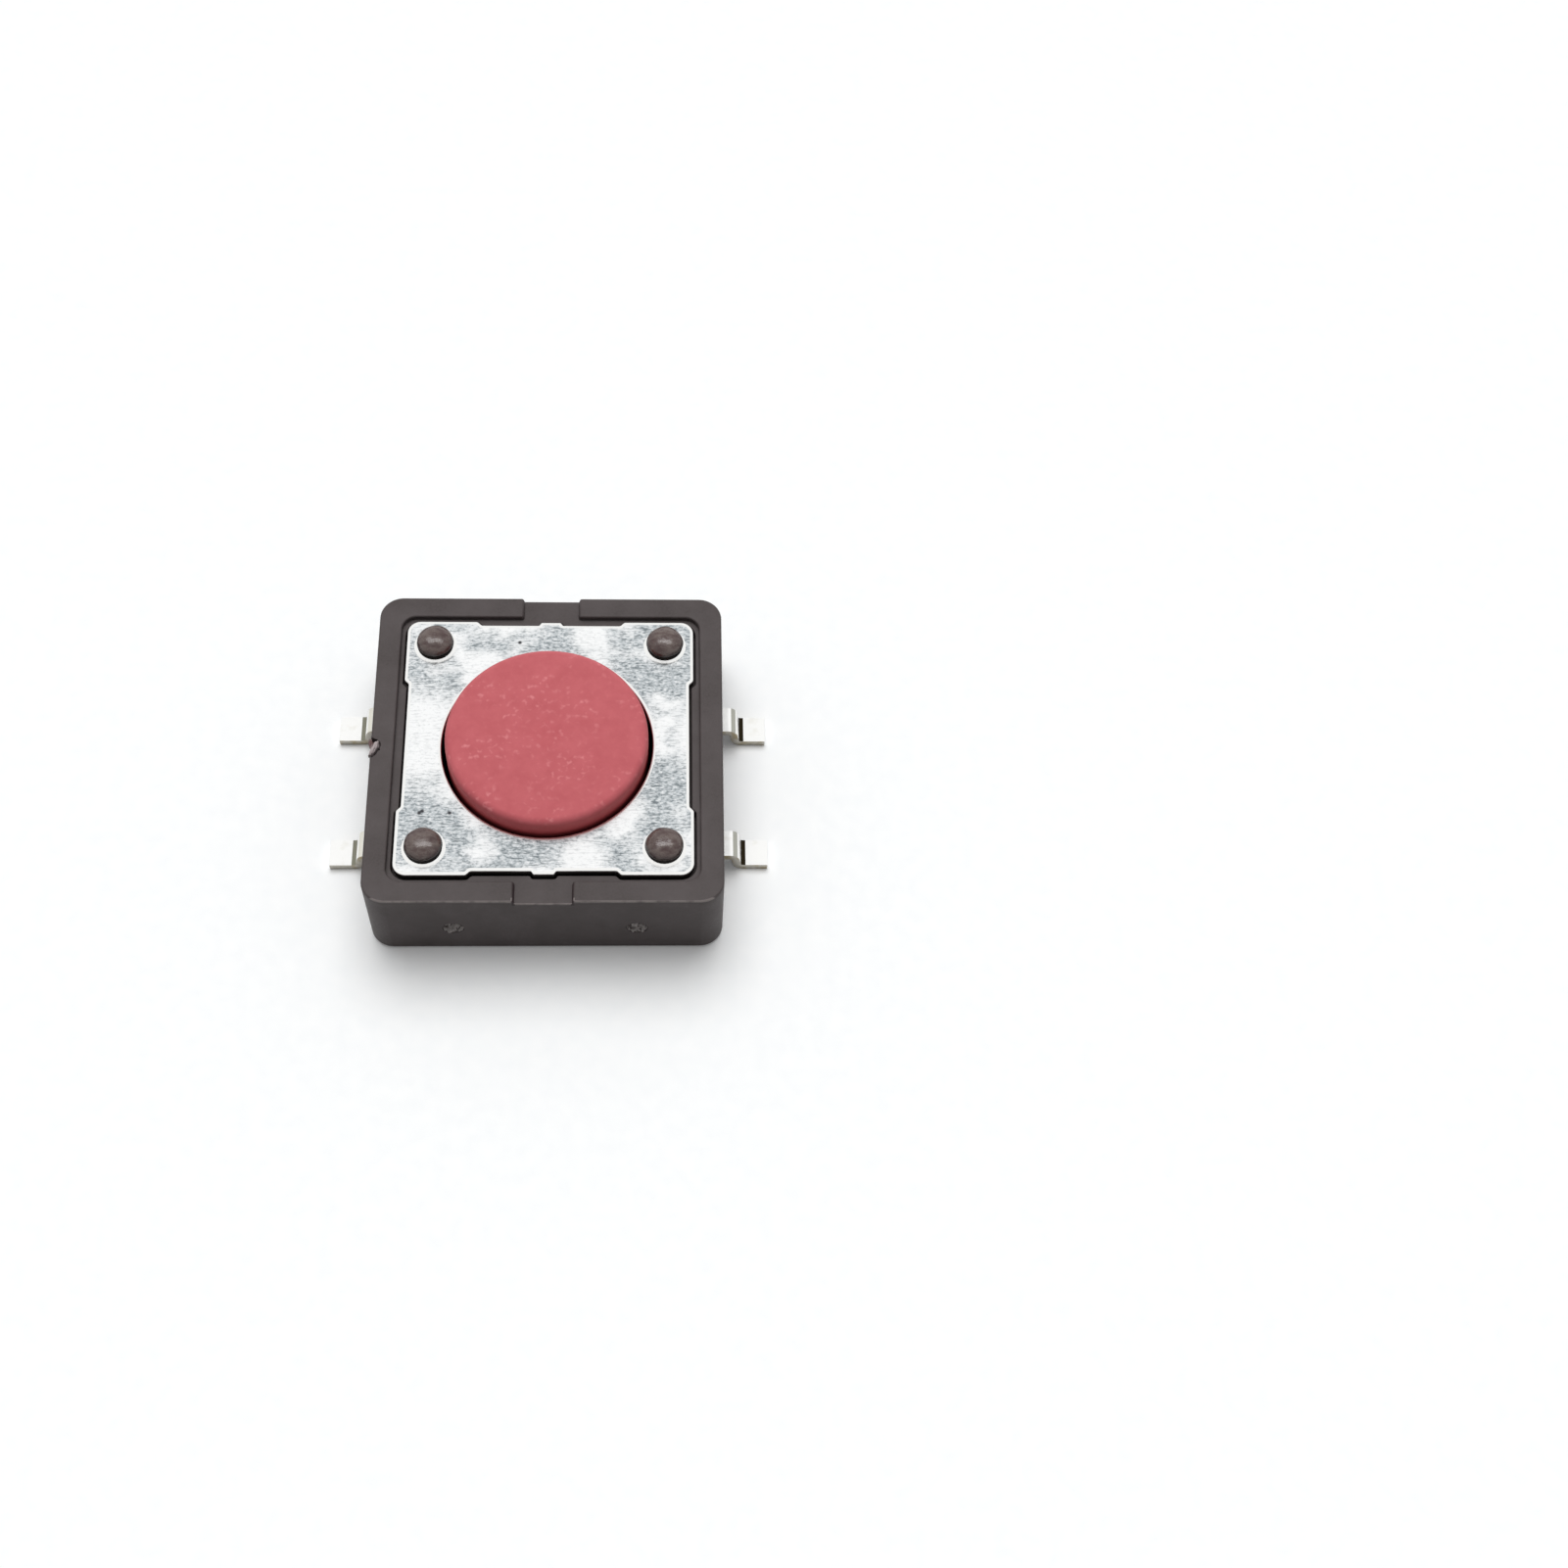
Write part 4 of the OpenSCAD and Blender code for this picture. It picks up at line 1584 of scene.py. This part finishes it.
@dataclass
class Studio:
    """A white floor, soft light from above and behind, a long ceiling lamp and the camera."""

    floor_half: float = 400.0
    floor_z: float = -0.004
    key_strength: float = 1.98
    key_angle_deg: float = 48.0
    key_from: Point = (-0.03, 0.36, 0.93)
    strip_watts: float = 8.0
    strip_size: tuple[float, float] = (1.4, 0.26)
    strip_at: Point = (0, 0.16, 1)
    sky_back: float = 0.62
    sky_front: float = 0.15
    lens: float = 51.87
    camera_at: Point = (4.1139, -39.0844, 70.5074)
    yaw_deg: float = -6.0048
    pitch_deg: float = 60.6066
    roll_deg: float = 5.2877

    def build(self, paper: Material, moulded: Object) -> None:
        """Sets up the floor, the light and the camera.

        Args:
            paper: Finish of the floor.
            moulded: The housing, the one piece on which the ceiling lamp glints.
        """
        self._floor(paper)
        self._sky()
        self._key()
        self._ceiling_strip(moulded)
        self._camera()
        bpy.context.scene.view_settings.view_transform = "Standard"

    def _floor(self, paper: Material) -> None:
        """Lays the floor.

        Args:
            paper: Its finish.
        """
        bm = bmesh.new()
        bmesh.ops.create_grid(bm, x_segments=1, y_segments=1, size=self.floor_half)
        bmesh.ops.translate(bm, verts=bm.verts, vec=UP * self.floor_z)
        finished(bm, "paper_floor", [paper])

    def _sky(self) -> None:
        """Lights the room evenly, dimmer in front, and shows it as plain white."""
        world = bpy.data.worlds.new("soft_room")
        world.use_nodes = True
        tree = world.node_tree
        tree.nodes.clear()
        level = overlap(tree, (along(tree, "Y", "Generated"), -0.8, 0.8, self.sky_front, self.sky_back))
        camera, glossy, clear = (add(tree, "LightPath", output=f"Is {kind} Ray")
                                 for kind in ("Camera", "Glossy", "Transmission"))
        seen = add(tree, "Math", [camera, glossy], operation="MAXIMUM")
        seen = add(tree, "Math", [seen, clear], operation="MAXIMUM")
        strength = add(tree, "Mix", [seen, level, 1.0])
        add(tree, "OutputWorld", [add(tree, "Background", {"Color": "#ffffff", "Strength": strength})])
        bpy.context.scene.world = world

    def _key(self) -> None:
        """Hangs the large soft lamp above and behind the switch, unseen in its reflections."""
        lamp = self._lamp("softbox", "SUN", self.key_strength, self.key_from)
        lamp.data.angle = math.radians(self.key_angle_deg)
        lamp.visible_glossy = False

    def _ceiling_strip(self, moulded: Object) -> None:
        """Hangs the long lamp above, seen only as a glint on the moulding's melted heads and edges.

        Args:
            moulded: The housing.
        """
        lamp = self._lamp("ceiling_strip", "AREA", self.strip_watts, self.strip_at)
        lamp.data.shape, (lamp.data.size, lamp.data.size_y) = "RECTANGLE", self.strip_size
        lamp.visible_diffuse = False
        shone_on = bpy.data.collections.new("shone_on_by_strip")
        shone_on.objects.link(moulded)
        lamp.light_linking.receiver_collection = shone_on

    @staticmethod
    def _lamp(name: str, kind: str, energy: float, at: Point) -> Object:
        """Hangs a lamp that points at the switch.

        Args:
            name: Its name.
            kind: Its kind.
            energy: Its strength.
            at: Its place in metres.

        Returns:
            The lamp.
        """
        data = bpy.data.lights.new(name, kind)
        data.energy = energy
        lamp = bpy.data.objects.new(name, data)
        lamp.location = at
        lamp.rotation_mode = "QUATERNION"
        lamp.rotation_quaternion = Vector(at).to_track_quat("Z", "Y")
        bpy.context.scene.collection.objects.link(lamp)
        return lamp

    def _camera(self) -> None:
        """Places the camera at the photograph's angle."""
        yaw, pitch, roll = (math.radians(a) for a in (self.yaw_deg, self.pitch_deg, self.roll_deg))
        back = Vector((math.sin(yaw) * math.cos(pitch), -math.cos(yaw) * math.cos(pitch), math.sin(pitch)))
        right = (-back).cross(UP).normalized()
        up = back.cross(right)
        rolled_right = right * math.cos(roll) + up * math.sin(roll)
        rolled_up = up * math.cos(roll) - right * math.sin(roll)
        data = bpy.data.cameras.new("camera")
        data.lens = self.lens
        data.sensor_width = 36.0
        data.clip_start, data.clip_end = 0.001, 10.0
        camera = bpy.data.objects.new("camera", data)
        turned = Matrix((rolled_right, rolled_up, back)).transposed().to_4x4()
        camera.matrix_world = Matrix.Translation(Vector(self.camera_at) * MM) @ turned
        bpy.context.scene.collection.objects.link(camera)
        bpy.context.scene.camera = camera


def main() -> None:
    """Builds the switch's pieces and the studio, in order."""
    gate_stubs = TornNylon("dark_nylon_torn_at_gates", whitened="#8f8987", ridges_from=0.4)
    nylon = [f.build() for f in (MouldedNylon(), StakedNylon(), TornNylon(), gate_stubs, SHADED_FOOT_NYLON)]
    steel = [f.build() for f in (RolledSteel(), BURNISHED_STEEL, SHADED_SHEARED_STEEL)]
    silver = [f.build() for f in (SILVER_PLATE, BendDarkenedSilver(), BRASS_EDGE)]
    pieces = [
        Housing().build(*nylon),
        CoverPlate().build(*steel),
        Button().build(MattRedNylon().build()),
        *(ContactStrip(kind=kind).build(*silver) for kind in Contact),
        SnapDome().build(DomeSteel().build()),
        SealingFilm().build(AMBER_FILM.build()),
    ]
    Studio().build(WhitePaper().build(), pieces[0])
    for piece in pieces:
        log.info("%s rides on %s", piece.name, piece["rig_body"])


if __name__ == "__main__":
    main()
